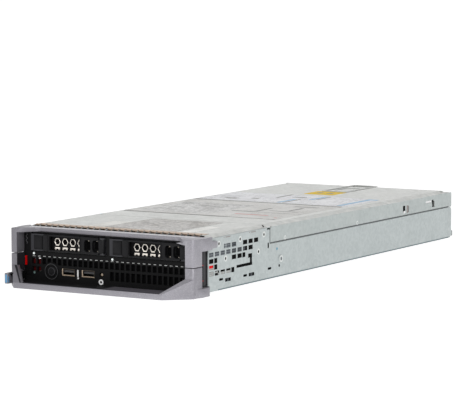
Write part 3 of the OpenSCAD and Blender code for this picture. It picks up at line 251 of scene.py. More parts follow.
# Plain colour with flecks of a second one, and smears a little lighter; smears are also rougher
def mouldedPlastic(name, colour, fleckColour=None, fleck=0.0, rough=0.5, metallic=0.0,
                   skinScale=900.0, bump=0.25, specular=0.35, smear=0.12, fade=None):
    material, tree, shader, position = startMaterial(name)
    skin = placeGroup(tree, mouldedSkin, position, Scale=skinScale, Fleck=fleck)
    marks = placeGroup(tree, handling, position, Scale=38.0, Scratches=0.25)
    tone = blendColours(tree, skin["Fleck"], colour, fleckColour or colour)
    lighter = tuple(min(1.0, c * 1.5 + 0.01) for c in colour[:3]) + (1.0,)
    tone = blendColours(tree, maths(tree, "MULTIPLY", marks["Smear"], smear), tone, lighter)
    if fade:
        # another tone towards one end: its colour, the X where it is full and where it is gone
        fadeColour, fullX, goneX = fade
        place = addNode(tree, "ShaderNodeSeparateXYZ", Vector=position)
        share = remap(tree, place.outputs[0], fullX * mm, goneX * mm, 1.0, 0.0)
        tone = blendColours(tree, share, tone, fadeColour)
    fill(shader.inputs["Base Color"], tone)
    fill(shader.inputs["Metallic"], metallic)
    fill(shader.inputs["Specular IOR Level"], specular)
    fill(shader.inputs["Roughness"], remap(tree, marks["Smear"], 0.0, 1.0, rough, rough + 0.12))
    addBump(tree, shader, skin["Height"], bump, skinDepth["moulded"])
    return material


# Bright metal, duller where it was handled, with a fine grain in its roughness
def platedMetal(name, colour, rough):
    material, tree, shader, position = startMaterial(name)
    marks = placeGroup(tree, handling, position, Scale=60.0)
    grain = addNode(tree, "ShaderNodeTexNoise", Vector=position, Scale=1800.0, Detail=3.0)
    dull = tuple(c * 0.72 for c in colour[:3]) + (1.0,)
    fill(shader.inputs["Base Color"], blendColours(tree, marks["Smear"], colour, dull))
    fill(shader.inputs["Metallic"], 1.0)
    fill(shader.inputs["Roughness"], remap(tree, grain.outputs[0], 0.3, 0.7, rough, rough + 0.15))
    addBump(tree, shader, grain.outputs[0], 0.15, skinDepth["plated"])
    return material


# Green mask over copper: the lines of a brick pattern stand up a little and show lighter
def circuitBoard(name):
    material, tree, shader, position = startMaterial(name)
    traces = addNode(tree, "ShaderNodeTexBrick", Vector=position, Scale=240.0, Mortar_Size=0.16)
    traces.inputs["Color1"].default_value = paint(16, 66, 40)
    traces.inputs["Color2"].default_value = paint(12, 56, 36)
    traces.inputs["Mortar"].default_value = paint(30, 98, 58)
    dots = addNode(tree, "ShaderNodeTexVoronoi", Vector=position, Scale=330.0)
    pad = maths(tree, "LESS_THAN", dots.outputs["Distance"], 0.16)
    tinned = blendColours(tree, pad, traces.outputs[0], paint(190, 180, 140))
    fill(shader.inputs["Base Color"], tinned)
    fill(shader.inputs["Roughness"], remap(tree, pad, 0.0, 1.0, 0.35, 0.25))
    fill(shader.inputs["Metallic"], maths(tree, "MULTIPLY", pad, 0.8))
    addBump(tree, shader, traces.outputs[1], 0.2, skinDepth["board"])
    return material


printing = {"cover": 0.55, "ink": 0.6, "rough": (0.35, 0.55)}


# Paper with rows of fine print, and a figure: patches crossed by thin light and dark lines
def printedLabel(name, paper, ink, row, blotch, lines):
    material, tree, shader, position = startMaterial(name)
    words = placeGroup(tree, finePrint, position, Row=row, Cover=printing["cover"])
    marks = placeGroup(tree, handling, position, Scale=50.0)
    patch = addNode(tree, "ShaderNodeTexNoise", Vector=position, Scale=70.0, Detail=5.0,
                    Roughness=0.75)
    figure = maths(tree, "MULTIPLY", remap(tree, patch.outputs[0], 0.46, 0.56, 0.0, 1.0), blotch)
    cells = addNode(tree, "ShaderNodeTexVoronoi", {"feature": "DISTANCE_TO_EDGE"},
                    Vector=position, Scale=170.0)
    line = remap(tree, cells.outputs["Distance"], 0.05, 0.16, 1.0, 0.0)
    fine = addNode(tree, "ShaderNodeTexNoise", Vector=position, Scale=260.0, Detail=2.0)
    glint = remap(tree, fine.outputs[0], 0.54, 0.60, 0.0, lines)
    tone = blendColours(tree, maths(tree, "MULTIPLY", words["Ink"], printing["ink"]), paper, ink)
    tone = blendColours(tree, figure, tone, ink)
    tone = blendColours(tree, maths(tree, "MULTIPLY", line, lines), tone, ink)
    white = tuple(min(1.0, c * 1.35) for c in paper[:3]) + (1.0,)
    fill(shader.inputs["Base Color"], blendColours(tree, glint, tone, white))
    fill(shader.inputs["Roughness"], remap(tree, marks["Smear"], 0.0, 1.0, *printing["rough"]))
    addBump(tree, shader, patch.outputs[0], 0.1, skinDepth["paper"])
    return material


# One colour, worn to a paler one in small clouds
def plainInk(name, colour, rough=0.45):
    material, tree, shader, position = startMaterial(name)
    wear = addNode(tree, "ShaderNodeTexNoise", Vector=position, Scale=420.0, Detail=4.0)
    faded = tuple(min(1.0, c * 0.8 + 0.06) for c in colour[:3]) + (1.0,)
    worn = remap(tree, wear.outputs[0], 0.35, 0.75, 0.0, 0.6)
    fill(shader.inputs["Base Color"], blendColours(tree, worn, colour, faded))
    fill(shader.inputs["Roughness"], rough)
    addBump(tree, shader, wear.outputs[0], 0.1, skinDepth["ink"])
    return material


# Light pipes: white ones above, a dim green one low at the left, and the reset button's tan stem
def frontLamps(name):
    material, tree, shader, position = startMaterial(name)
    place = addNode(tree, "ShaderNodeSeparateXYZ", Vector=position)
    haze = addNode(tree, "ShaderNodeTexNoise", Vector=position, Scale=1200.0, Detail=2.0)
    low = maths(tree, "LESS_THAN", place.outputs[2], 15 * mm)
    stem = maths(tree, "MULTIPLY", low, maths(tree, "GREATER_THAN", place.outputs[0], -40 * mm))
    colour = blendColours(tree, low, paint(226, 232, 230), paint(58, 96, 92))
    colour = blendColours(tree, stem, colour, paint(172, 146, 118))
    milky = maths(tree, "MULTIPLY", haze.outputs[0], 0.3)
    fill(shader.inputs["Base Color"], blendColours(tree, milky, colour, paint(235, 240, 238)))
    glow = blendColours(tree, low, paint(150, 156, 154), paint(20, 34, 32))
    fill(shader.inputs["Emission Color"], blendColours(tree, stem, glow, paint(0, 0, 0)))
    shader.inputs["Roughness"].default_value = 0.3
    shader.inputs["Emission Strength"].default_value = 0.9
    return material


# Folded sheet inside the vents: square cells between darker lines, counted along Y and Z
def cageGrid(name, cell, line):
    material, tree, shader, position = startMaterial(name)
    place = addNode(tree, "ShaderNodeSeparateXYZ", Vector=position)
    flat = addNode(tree, "ShaderNodeCombineXYZ", X=place.outputs[1], Y=place.outputs[2])
    cells = addNode(tree, "ShaderNodeTexBrick", {"offset": 0.0}, Vector=flat.outputs[0],
                    Scale=260.0, Mortar_Size=0.14)
    cells.inputs["Brick Width"].default_value = 0.5
    cells.inputs["Row Height"].default_value = 0.5
    cells.inputs["Color1"].default_value = cell
    cells.inputs["Color2"].default_value = tuple(c * 0.8 for c in cell[:3]) + (1.0,)
    cells.inputs["Mortar"].default_value = line
    fill(shader.inputs["Base Color"], cells.outputs[0])
    fill(shader.inputs["Roughness"], 0.55)
    addBump(tree, shader, cells.outputs[1], 0.2, skinDepth["board"])
    return material


finish = {
    "side": sheetMetal("sideSheet", paint(199, 206, 206), paint(183, 191, 191)),
    "top": sheetMetal("topSheet", paint(210, 211, 208), paint(197, 199, 196), scale=340.0,
                      # painted shade: the darker tones of the cover's side-facing flanges
                      flank=(paint(194, 201, 200), paint(180, 188, 187))),
    "inner": sheetMetal("innerSheet", paint(172, 176, 176), paint(140, 145, 146),
                        rough=(0.3, 0.45)),
    # the bezel's tone darkens towards its left end: painted shade
    "bezel": mouldedPlastic("bezelPlastic", paint(158, 156, 163), paint(212, 210, 214), fleck=0.26,
                            rough=0.42, metallic=0.35, bump=0.2, specular=0.4,
                            fade=(paint(133, 131, 137), -96, 70)),
    "black": mouldedPlastic("blackPlastic", paint(25, 25, 27), rough=0.45, specular=0.2, bump=0.3),
    "grille": mouldedPlastic("grillePlastic", paint(17, 17, 18), rough=0.5, specular=0.15,
                             bump=0.35),
    "dark": mouldedPlastic("darkPlastic", paint(52, 52, 56), rough=0.45, specular=0.3),
    "red": mouldedPlastic("redPlastic", paint(72, 2, 4), rough=0.45, bump=0.1, specular=0.2,
                          smear=0.0, fade=(paint(214, 6, 8), -86, -85)),
    "brightRed": mouldedPlastic("redTip", paint(226, 6, 8), rough=0.5, bump=0.1, specular=0.1,
                                smear=0.05),
    "blue": mouldedPlastic("bluePad", paint(96, 150, 190), rough=0.4, bump=0.1),
    "fingers": platedMetal("tanSpringMetal", paint(186, 165, 146), rough=0.38),
    "mesh": platedMetal("warmPlate", paint(255, 248, 238), rough=0.22),
    "port": platedMetal("portShell", paint(196, 180, 160), rough=0.3),
    "screw": platedMetal("zincScrew", paint(196, 198, 196), rough=0.28),
    "cast": platedMetal("castDrive", paint(168, 170, 174), rough=0.45),
    "fins": platedMetal("finAluminium", paint(214, 215, 217), rough=0.35),
    "board": circuitBoard("boardMask"),
    "ivory": mouldedPlastic("ivoryNylon", paint(222, 212, 184), rough=0.5),
    "chip": mouldedPlastic("epoxyBlack", paint(34, 34, 36), rough=0.6, skinScale=1600.0),
    "lamp": frontLamps("frontLamps"),
    "shell": platedMetal("dullShell", paint(110, 102, 94), rough=0.35),
    "slate": mouldedPlastic("slatePlastic", paint(78, 78, 80), rough=0.5, bump=0.2),
    # painted shade: near black for films that stand in for shadow in holes, gaps, slots and
    # recesses
    "paintedShade": mouldedPlastic("paintedShadeBlack", paint(9, 9, 10), rough=0.8, specular=0.08, bump=0.1,
                           smear=0.02),
    "liner": mouldedPlastic("handleLiner", paint(98, 95, 102), rough=0.55, specular=0.15,
                            fade=(paint(26, 26, 28), 4, 8)),
    "shade": mouldedPlastic("innerShade", paint(44, 43, 47), rough=0.6, specular=0.12),
    # painted shade: the dark top of the handle's rail
    "lip": mouldedPlastic("railTopShade", paint(66, 65, 72), rough=0.5, specular=0.2),
    # painted light: the pale top of the cap, lighter than its front
    "capLight": mouldedPlastic("capLight", paint(214, 213, 218), paint(236, 235, 240), fleck=0.25,
                             rough=0.4),
    "grid": cageGrid("cageGrid", paint(150, 158, 164), paint(64, 70, 76)),
    # painted shade: a darker copy of the cage grid
    "shadedGrid": cageGrid("cageGridShade", paint(92, 102, 112), paint(24, 28, 32)),
    # painted light: a paler copy of the cage grid
    "litGrid": cageGrid("cageGridLit", paint(206, 208, 206), paint(158, 160, 158)),
    # painted shade of the side's bottom bend
    "edge": plainInk("bottomBendShadeInk", paint(84, 106, 112)),
    # painted shadow line in the seams of the cover's flange
    "seamShade": plainInk("seamShadow", paint(66, 72, 74)),
    "mark": plainInk("tabMark", paint(142, 132, 128)),
    "teal": plainInk("tealDot", paint(70, 150, 176)),
    "white": plainInk("whiteInk", paint(252, 252, 252)),
    # painted highlight: bright rings on screws, the boss and dimples
    "rim": plainInk("rimHighlight", paint(226, 230, 228)),
    # painted highlight: the bright ends of the carriers' finger slots
    "arc": plainInk("slotEndHighlight", paint(206, 196, 182)),
    # painted sheen on the edges of the power button and its ring
    "outline": plainInk("ringSheen", paint(58, 58, 61)),
    # painted highlight: tan for the bright edges of the ports
    "glintTan": platedMetal("portEdgeGlint", paint(214, 194, 172), rough=0.32),
}

nodeFinish = {
    "side": ["right_side_panel", "left_side_panel"],
    "top": ["front_top_plate", "top_cover", "latch_cup", "latch_lever"],
    "inner": ["base_pan", "rear_panel", "drive_cage", "rear_guides"],
    "bezel": ["upper_bezel", "handle_frame", "release_button"],
    "black": ["left_carrier_lever", "right_carrier_lever", "left_carrier_button",
              "right_carrier_button", "power_button"],
    "slate": ["usb_tongues"],
    "grille": ["front_panel", "bay_frame", "handle_catch", "left_carrier_mesh",
               "right_carrier_mesh"],
    "dark": ["left_drive_carrier", "right_drive_carrier", "power_switch"],
    "red": ["lock_strip"],
    "fingers": ["emi_strips"],
    "port": ["processors"],
    "shell": ["usb_shells"],
    "screw": ["side_screws", "board_screws", "standoffs", "heat_sink_screws", "handle_pivot_pin",
              "release_button_pin", "latch_pin", "left_lever_pin", "right_lever_pin", "coin_cell"],
    "cast": ["left_hard_drive", "right_hard_drive"],
    "fins": ["heat_sinks", "chipset_heat_sink"],
    "board": ["front_io_board", "drive_backplane", "main_board", "memory_modules",
              "mezzanine_cards"],
    "ivory": ["cpu_sockets"],
    "chip": ["backplane_connectors", "dimm_sockets", "board_parts", "mezzanine_connectors",
             "rear_connectors", "guide_sockets"],
    "lamp": ["status_lights"],
}
for key, names in nodeFinish.items():
    for name in names:
        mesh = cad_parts[name].data
        mesh.materials.clear()
        mesh.materials.append(finish[key])
print("materials set:", len(finish))


# Puts a mesh into the scene; key is a finish's name, or a material made for this piece alone
def placePiece(name, mesh, key, body):
    mesh.materials.append(finish[key] if isinstance(key, str) else key)
    piece = bpy.data.objects.new(name, mesh)
    bpy.context.scene.collection.objects.link(piece)
    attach(piece, body)
    return piece


# Points nearer than merge are joined, faces within the flat angle become one, and edges turned by
# more than angle are rounded
rounding = {"merge": 0.002 * mm, "flat": 0.6, "angle": 30.0, "segments": 2}


# A copy of a CAD node with rounded edges, which catch light as those of a moulded part do
def softened(node, key, body, width, name):
    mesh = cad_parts[node].data.copy()
    mesh.materials.clear()
    work = bmesh.new()
    work.from_mesh(mesh)
    bmesh.ops.remove_doubles(work, verts=work.verts, dist=rounding["merge"])
    bmesh.ops.dissolve_limit(work, angle_limit=math.radians(rounding["flat"]), verts=work.verts,
                             edges=work.edges, delimit={"NORMAL"})
    for face in work.faces:
        face.smooth = True
    work.to_mesh(mesh)
    work.free()
    piece = placePiece(name, mesh, key, body)
    bevel = piece.modifiers.new("edges", "BEVEL")
    bevel.width = width
    bevel.segments = rounding["segments"]
    bevel.limit_method = "ANGLE"
    bevel.angle_limit = math.radians(rounding["angle"])
    bevel.harden_normals = True
    bevel.use_clamp_overlap = True
    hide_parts(node)
    return piece


# Points of a rectangle about the origin with quarter-circle corners, as an array of X and Y
def roundedOutline(width, height, radius, steps=5):
    radius = min(radius, width / 2 - 1e-6, height / 2 - 1e-6)
    turn = np.linspace(0, math.pi / 2, steps)
    quarter = np.arange(4)[:, None] * math.pi / 2 + turn[None, :]
    signs = np.array([[1, 1], [-1, 1], [-1, -1], [1, -1]])
    centres = signs * [width / 2 - radius, height / 2 - radius]
    ring = centres[:, None, :] + radius * np.stack([np.cos(quarter), np.sin(quarter)], -1)
    return ring.reshape(-1, 2)


# Stacks an outline at several levels of (inset, height) and closes the two ends with flat faces
def rings(levels, outline):
    count = len(outline)
    reach = np.abs(outline).max(0)
    layers = [np.c_[outline * (1 - inset / reach), np.full(count, height)]
              for inset, height in levels]
    points = np.concatenate(layers)
    step = np.arange(count)
    after = (step + 1) % count
    around = np.stack([step, after, after + count, step + count], 1)
    quads = np.concatenate([around + i * count for i in range(len(levels) - 1)])
    ends = [step[::-1].tolist(), (step + (len(levels) - 1) * count).tolist()]
    return points, quads.tolist() + ends


# Turns flat work from the XY plane so that its Z looks along facing, and moves it to a spot in mm
def seat(points, spot, facing):
    x, y, z = np.asarray(points).T
    turned = {"+z": (x, y, z), "-y": (x, -z, y), "+x": (z, x, y)}[facing]
    return (np.stack(turned, 1) + np.array(spot)) * mm + [0, frontY, 0]


# Many small solids, each given as its points and faces, become one mesh
def gather(name, key, body, solids):
    starts = np.cumsum([0] + [len(points) for points, _ in solids])
    points = np.concatenate([points for points, _ in solids])
    faces = [[corner + start for corner in face]
             for start, (_, solidFaces) in zip(starts.tolist(), solids) for face in solidFaces]
    mesh = bpy.data.meshes.new(name)
    mesh.from_pydata(points.tolist(), [], faces)
    return placePiece(name, mesh, key, body)


# A thin plate with round corners and a small chamfer on its rim; its back lies at spot
def plateShape(spot, facing, size, radius, thickness, steps=5):
    outline = roundedOutline(size[0], size[1], radius, steps)
    edge = min(0.05, thickness * 0.4)
    points, faces = rings([(0, 0), (0, thickness - edge), (edge, thickness)], outline)
    return seat(points, spot, facing), faces


# One such plate as a piece of its own
def plate(name, key, body, spot, facing, size, radius, thickness):
    return gather(name, key, body, [plateShape(spot, facing, size, radius, thickness)])


# Thin plates that lie on a face, which is level mm along its axis. Each row is a0, a1, b0, b1, the
# plate's reach along the face's two directions
def films(name, key, body, facing, level, rows, thickness=0.03, radius=0.15):
    solids = []
    for a0, a1, b0, b1 in rows:
        a, b = (a0 + a1) / 2, (b0 + b1) / 2
        spot = {"+z": (a, b, level), "-y": (a, level, b), "+x": (level, a, b)}[facing]
        solids.append(plateShape(spot, facing, (a1 - a0, b1 - b0), radius, thickness, 3))
    return gather(name, key, body, solids)


# A ring: a small section, wire wide and deep high, goes round a circle, or a polygon with few sides
def hoopShape(spot, facing, radius, wire, deep, sides=28):
    turn = np.arange(sides) * 2 * math.pi / sides
    section = np.array([[-0.5, 0], [0.5, 0], [0.5, 0.6], [0.25, 1], [-0.25, 1], [-0.5, 0.6]])
    section = section * [wire, deep]
    r = radius + section[None, :, 0]
    points = np.stack([r * np.cos(turn)[:, None], r * np.sin(turn)[:, None],
                       np.tile(section[:, 1], (sides, 1))], -1).reshape(-1, 3)
    i, j = np.meshgrid(np.arange(sides), np.arange(6), indexing="ij")
    nextI, nextJ = (i + 1) % sides, (j + 1) % 6
    faces = np.stack([i * 6 + nextJ, nextI * 6 + nextJ, nextI * 6 + j, i * 6 + j], -1)
    return seat(points, spot, facing), faces.reshape(-1, 4).tolist()


# A round wire along a path of points in mm: a circle of the given radius at each point, square to
# the path
def wireShape(path, radius, sides=8):
    path = np.asarray(path, float)
    ahead = np.gradient(path, axis=0)
    ahead /= np.linalg.norm(ahead, axis=1)[:, None]
    across = np.cross(ahead, [0.31, 0.83, 0.46])
    across /= np.linalg.norm(across, axis=1)[:, None]
    up = np.cross(ahead, across)
    turn = np.arange(sides) * 2 * math.pi / sides
    circle = (np.cos(turn)[None, :, None] * across[:, None]
              + np.sin(turn)[None, :, None] * up[:, None])
    points = (path[:, None] + radius * circle).reshape(-1, 3)
    i, j = np.meshgrid(np.arange(len(path) - 1), np.arange(sides), indexing="ij")
    nextJ = (j + 1) % sides
    near, far = i * sides, (i + 1) * sides
    faces = np.stack([near + j, near + nextJ, far + nextJ, far + j], -1)
    ends = [list(range(sides))[::-1], [(len(path) - 1) * sides + k for k in range(sides)]]
    return seat(points, (0, 0, 0), "+z"), faces.reshape(-1, 4).tolist() + ends


# A flat face with its corners in mm, made solid by lifting a copy of it along its normal
def sheetOf(corners, lift):
    corners = np.asarray(corners, float)
    normal = np.cross(corners[1] - corners[0], corners[-1] - corners[0])
    raised = corners + normal / np.linalg.norm(normal) * lift
    n = len(corners)
    faces = [list(range(n))[::-1], list(range(n, 2 * n))]
    faces += [[k, (k + 1) % n, (k + 1) % n + n, k + n] for k in range(n)]
    return seat(np.concatenate([corners, raised]), (0, 0, 0), "+z"), faces


print("helpers ready")

edgeRadius = {"bezel": 0.45 * mm, "release": 0.25 * mm, "lever": 0.18 * mm, "button": 0.15 * mm}
softened("upper_bezel", "bezel", "chassis", edgeRadius["bezel"], "upperBezel")
softened("handle_frame", "bezel", "handle", edgeRadius["bezel"], "handleFrame")
softened("release_button", "bezel", "release_button", edgeRadius["release"],
         "releaseButton")
for side in ("left", "right"):
    softened(side + "_carrier_lever", "black", side + "_lever",
             edgeRadius["lever"], side + "CarrierLever")
    softened(side + "_carrier_button", "black", side + "_button",
             edgeRadius["button"], side + "CarrierButton")
print("edges softened")

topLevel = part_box("front_top_plate")[1].z / mm       # the flat of the top, in mm
film = 0.12                                          # thickness of a label

# x and y are a label's two edges each way; blotch and lines say how strong its figure is
labels = {
    "frontLabel": {"body": "chassis", "x": (-22, 52), "y": (12, 92), "row": 3.0, "blotch": 0.3,
                   "lines": 0.6, "paper": paint(178, 175, 170), "ink": paint(116, 111, 106)},
    "leftSticker": {"body": "chassis", "x": (-41, -23), "y": (12, 57), "row": 3.4, "blotch": 0.1,
                    "lines": 0.0, "paper": paint(224, 223, 216), "ink": paint(180, 180, 178)},
    "rightSticker": {"body": "chassis", "x": (57, 68), "y": (10.5, 60), "row": 3.4, "blotch": 0.1,
                     "lines": 0.0, "paper": paint(240, 239, 234), "ink": paint(206, 206, 202)},
    "coverLabel": {"body": "cover", "x": (-84, 78), "y": (137, 262), "row": 4.2, "blotch": 0.12,
                   "lines": 0.0, "paper": paint(207, 206, 202), "ink": paint(164, 162, 159)},
    "coverFigure": {"body": "cover", "x": (-76, 0), "y": (150, 236), "row": 4.2, "blotch": 0.6,
                    "lines": 0.35, "paper": paint(212, 212, 210), "ink": paint(122, 120, 118)},
    "rearLabel": {"body": "cover", "x": (-84, 80), "y": (269, 343), "row": 5.2, "blotch": 0.18,
                  "lines": 0.0, "paper": paint(234, 235, 239), "ink": paint(150, 150, 154)},
}
printLift = 0.02                                     # what is printed stands proud of its label
for name, v in labels.items():
    (x0, x1), (y0, y1) = v["x"], v["y"]
    look = printedLabel(name + "Print", v["paper"], v["ink"], v["row"], v["blotch"], v["lines"])
    thickness = film + (printLift if name == "coverFigure" else 0)
    plate(name, look, v["body"], ((x0 + x1) / 2, (y0 + y1) / 2, topLevel), "+z",
          (x1 - x0, y1 - y0), 1.5, thickness)

# Each mark is a film on the cover's labels: x0, x1, y0, y1 in mm
prints = {
    "darkRules": {"colour": (84, 80, 76), "rows": [
        (-84, 28, 136.4, 139.6), (28, 78, 137, 138.4), (4, 28, 184.8, 188), (28, 78, 185.4, 186.8),
        (-84, 78, 262, 266.6)]},
    "greyBars": {"colour": (104, 101, 98), "rows": [
        (25.2, 28.8, 191, 221), (51, 55, 208, 235), (-21.8, -18.2, 313, 345), (8, 10.4, 273, 309),
        (23.2, 25.8, 313, 341)]},
    "greyDashes": {"colour": (140, 138, 136), "rows": [
        (-64, -50, 284, 292), (-38, -30, 292, 300), (36, 66, 200, 204), (38, 64, 242, 248),
        (-8, 6, 322, 328)]},
    "blueTabs": {"colour": (128, 184, 220), "rows": [
        (2.4, 6.2, 272, 307), (17.4, 21.6, 309, 342), (67.4, 73, 274, 341), (73, 79, 334, 341)]},
    "redRule": {"colour": (208, 104, 96), "rows": [
        (21, 56, 162.2, 165.6), (70, 73.4, 148.5, 151.5)]},
    "cyanDot": {"colour": (96, 176, 200), "rows": [(-86, -83, 99.6, 100.8)]},
}
for name, v in prints.items():
    ink = plainInk(name + "Ink", paint(*v["colour"]))
    films(name, ink, "cover", "+z", topLevel + film + printLift, v["rows"])

yellow = {"spot": (0, 375.5, topLevel), "size": (33, 31), "corner": 1.5,
          "film": plainInk("yellowFilm", paint(250, 212, 40), rough=0.75),
          "ink": plainInk("yellowInk", paint(120, 104, 60)),
          "marks": [(-9, -3, 372, 380), (3, 10, 371, 374), (3, 8, 376, 381)]}
plate("yellowLabel", yellow["film"], "cover", yellow["spot"], "+z",
      yellow["size"], yellow["corner"], film)
films("yellowPrint", yellow["ink"], "cover", "+z", topLevel + film,
      yellow["marks"])
print("labels made")

# Handle: dark lining on its floor; painted shade along the top of the rail, and inside the left
# post with the sloped brace below it; a face is given by its corners
handle = {"floor": 0.6, "lining": [(-70.6, -41.4), (70.6, -41.4), (84.7, -21.9), (84.7, -15),
                                   (-88.4, -15), (-88.4, -21.9)],
          "rail": 2.3, "railX": (-77.4, 72.4), "railY": (-44.45, -41.5),
          "post": [(-88.7, -25.7, 14), (-88.7, -15, 8), (-88.7, -15, 25), (-88.7, -25.7, 25)],
          "brace": [(-91.3, -26.02, 14.8), (-72.4, -44.95, 2.35), (-70.9, -44.95, 2.35),
                    (-88.75, -26.02, 14.8)]}
liningCorners = [(x, y, handle["floor"]) for x, y in handle["lining"]]
gather("handleLining", "liner", "handle", [sheetOf(liningCorners, 0.2)])
films("railShade", "lip", "handle", "+z", handle["rail"],
      [(*handle["railX"], *handle["railY"])], 0.06, 0.4)
gather("postShade", "shade", "handle",
       [sheetOf(handle["post"], 0.06), sheetOf(handle["brace"], 0.08)])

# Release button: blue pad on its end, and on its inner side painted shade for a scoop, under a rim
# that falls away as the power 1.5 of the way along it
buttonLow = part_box("release_button")[0]
button = {"end": buttonLow.x / mm + 2.3, "side": buttonLow.x / mm + 4.0,
          "front": (buttonLow.y - frontY) / mm, "scoopStart": 2.2, "scoopLong": 8.6,
          "scoopTop": 7.9, "scoopFall": 7.6, "cornerZ": 8.2}
sweep = np.linspace(0, 1, 9)
rimY = button["front"] + button["scoopStart"] + button["scoopLong"] * sweep
rimZ = button["scoopTop"] - button["scoopFall"] * sweep ** 1.5
scoop = np.c_[rimY, rimZ]
scoop = np.r_[scoop, [[rimY[-1], button["cornerZ"]]]]
gather("thumbScoopShade", "paintedShade", "release_button",
       [sheetOf(np.c_[np.full(len(scoop), button["side"]), scoop], 0.05)])
plate("thumbPad", "blue", "release_button",
      (button["end"], button["front"] + 0.02, 4.0), "-y", (2.0, 7.4), 0.9, 0.2)
plate("thumbSide", "blue", "release_button",
      (button["side"], button["front"] + 1.2, 3.3), "+x", (1.8, 5.6), 0.8, 0.08)

# Painted light on the top of the cap, and painted shadows: dark slanted bars in the gaps between
# the cap and the spring fingers
cap = {"z": 47.3, "reach": (-86, 84, -11.4, -2.4)}
films("capLightFilm", "capLight", "chassis", "+z", cap["z"], [cap["reach"]], 0.04, 0.5)
fingerShade = {"first": -86.8, "pitch": 6.35, "count": 28, "long": 4.3, "slant": 1.3,
        "low": 47.42, "high": 0.88, "y": -2.22, "thick": 0.05}
slanted = np.array([[0, 0], [fingerShade["long"], 0], [fingerShade["long"] + fingerShade["slant"], fingerShade["high"]],
                    [fingerShade["slant"], fingerShade["high"]]])
shadowBlock = np.concatenate([np.c_[slanted, np.zeros(4)], np.c_[slanted, np.full(4, fingerShade["thick"])]])
shadowFaces = [[3, 2, 1, 0], [4, 5, 6, 7], [0, 1, 5, 4], [1, 2, 6, 5], [2, 3, 7, 6], [3, 0, 4, 7]]
shadowStarts = fingerShade["first"] + np.arange(fingerShade["count"]) * fingerShade["pitch"]
gather("fingerShadows", "paintedShade", "chassis",
       [(seat(shadowBlock, (x, fingerShade["y"], fingerShade["low"]), "-y"), shadowFaces) for x in shadowStarts.tolist()])
print("handle and cap dressed")

# Drive carriers: bright hexagons of the mesh over painted shade, bright bars beside them as painted
# highlights, and painted highlights as bright arcs at the ends of the finger slots. A bar is its
# place from the middle of its hexagon or slot and from the carrier's foot, its width and height,
# its corner radius and its thickness
carrier = {"left": -80.85, "right": 2.0, "foot": 26.9, "backY": -11.3, "faceY": -12.5,
           "windows": [(20.6, 53), (55.5, 74)], "windowZ": (1.7, 14.1),
           "hexes": [26.4, 34.5, 42.6, 50.7], "hexZ": 9.05, "hexRadius": 2.9, "hexWire": 0.78,
           "hexTall": 1.12,
           "hexGlintBars": [(0, 6.25, 3.6, 1.0, 0.35, 0.45), (0.1, 3.7, 5.2, 1.4, 0.35, 0.45),
                    (-2.0, 2.7, 1.5, 1.4, 0.4, 0.42), (1.7, 2.7, 1.9, 1.2, 0.4, 0.42)],
           "slots": [60.4, 69.2],
           "endGlintBars": [(0.4, 12.5, 3.4, 0.7, 0.35, 0.5), (-0.9, 11.8, 1.3, 0.9, 0.35, 0.5),
                    (0.2, 2.9, 2.6, 0.5, 0.25, 0.5)]}


# The painted highlight bars round one hexagon or slot whose middle is at x
def glintShapes(x, foot, rows):
    y = carrier["faceY"]
    return [plateShape((x + dx, y, foot + dz), "-y", (width, height), radius, thick, 3)
            for dx, dz, width, height, radius, thick in rows]


# A hexagon of wire, stretched upwards
def hexShape(x, z):
    points, faces = hoopShape((0, 0, 0), "-y", carrier["hexRadius"], carrier["hexWire"], 0.4, 6)
    points[:, 2] *= carrier["hexTall"]
    return points + np.array([x, carrier["faceY"], z]) * mm, faces


for side in ("left", "right"):
    start, foot, body = carrier[side], carrier["foot"], side + "_drive"
    low, high = (foot + z for z in carrier["windowZ"])
    films(side + "MeshShade", "paintedShade", body, "-y", carrier["backY"],
          [(start + x0, start + x1, low, high) for x0, x1 in carrier["windows"]], 0.2)
    cells, endGlints = [], []
    for x in carrier["hexes"]:
        cells += [hexShape(start + x, foot + carrier["hexZ"])]
        cells += glintShapes(start + x, foot, carrier["hexGlintBars"])
    for x in carrier["slots"]:
        endGlints += glintShapes(start + x, foot, carrier["endGlintBars"])
    gather(side + "MeshCellsAndGlints", "mesh", body, cells)
    gather(side + "SlotEndGlints", "arc", body, endGlints)

# Front panel: painted light in the grille's small holes, painted shade behind its openings, painted
# highlights on the edges of the two ports, plain marks
panel = {"y": -14.0, "holeLight": plainInk("holeLight", paint(206, 208, 206)),
         "dashes": {"first": -80.2, "pitch": 5.47, "count": 30, "long": 2.7, "z": (22.0, 22.6)},
         "shadeLayer": [(-71.9, 84, 14.8, 21.1), (1, 84, 4.6, 13.6)], "backY": -11.2,
         "ports": [-48.8, -27.9], "portZ": 6.8, "portLong": 13.1, "portHigh": 6.1, "lip": 0.95}
dashes = panel["dashes"]
dashStarts = [dashes["first"] + i * dashes["pitch"] for i in range(dashes["count"])]
# painted light: bright dashes in the grille's small holes
films("grilleHoleLight", panel["holeLight"], "chassis", "-y", panel["y"] + 0.9,
      [(x, x + dashes["long"], *dashes["z"]) for x in dashStarts], 0.5, 0.2)
films("grilleShade", "paintedShade", "chassis", "-y", panel["backY"],
      panel["shadeLayer"], 0.2, 0.3)
# painted highlights: bright bars along the bottom and left edges of each port
portGlints = []
for x in panel["ports"]:
    z = panel["portZ"]
    portGlints += [(x, x + panel["portLong"], z, z + panel["lip"]),
             (x, x + 1.1, z + 1, z + panel["portHigh"])]
films("portEdgeGlints", "glintTan", "chassis", "-y", panel["y"] - 0.2, portGlints, 0.12, 0.2)
gather("portMark", "white", "chassis",
       [plateShape((-32.3, panel["y"], 9.6), "-y", (1.5, 6.4), 0.7, 0.08),
        plateShape((-32.1, panel["y"], 5.3), "-y", (1.7, 1.7), 0.8, 0.08)])
gather("resetMark", "white", "chassis",
       [hoopShape((-8.1, panel["y"], 3.6), "-y", 1.75, 1.4, 0.08)])

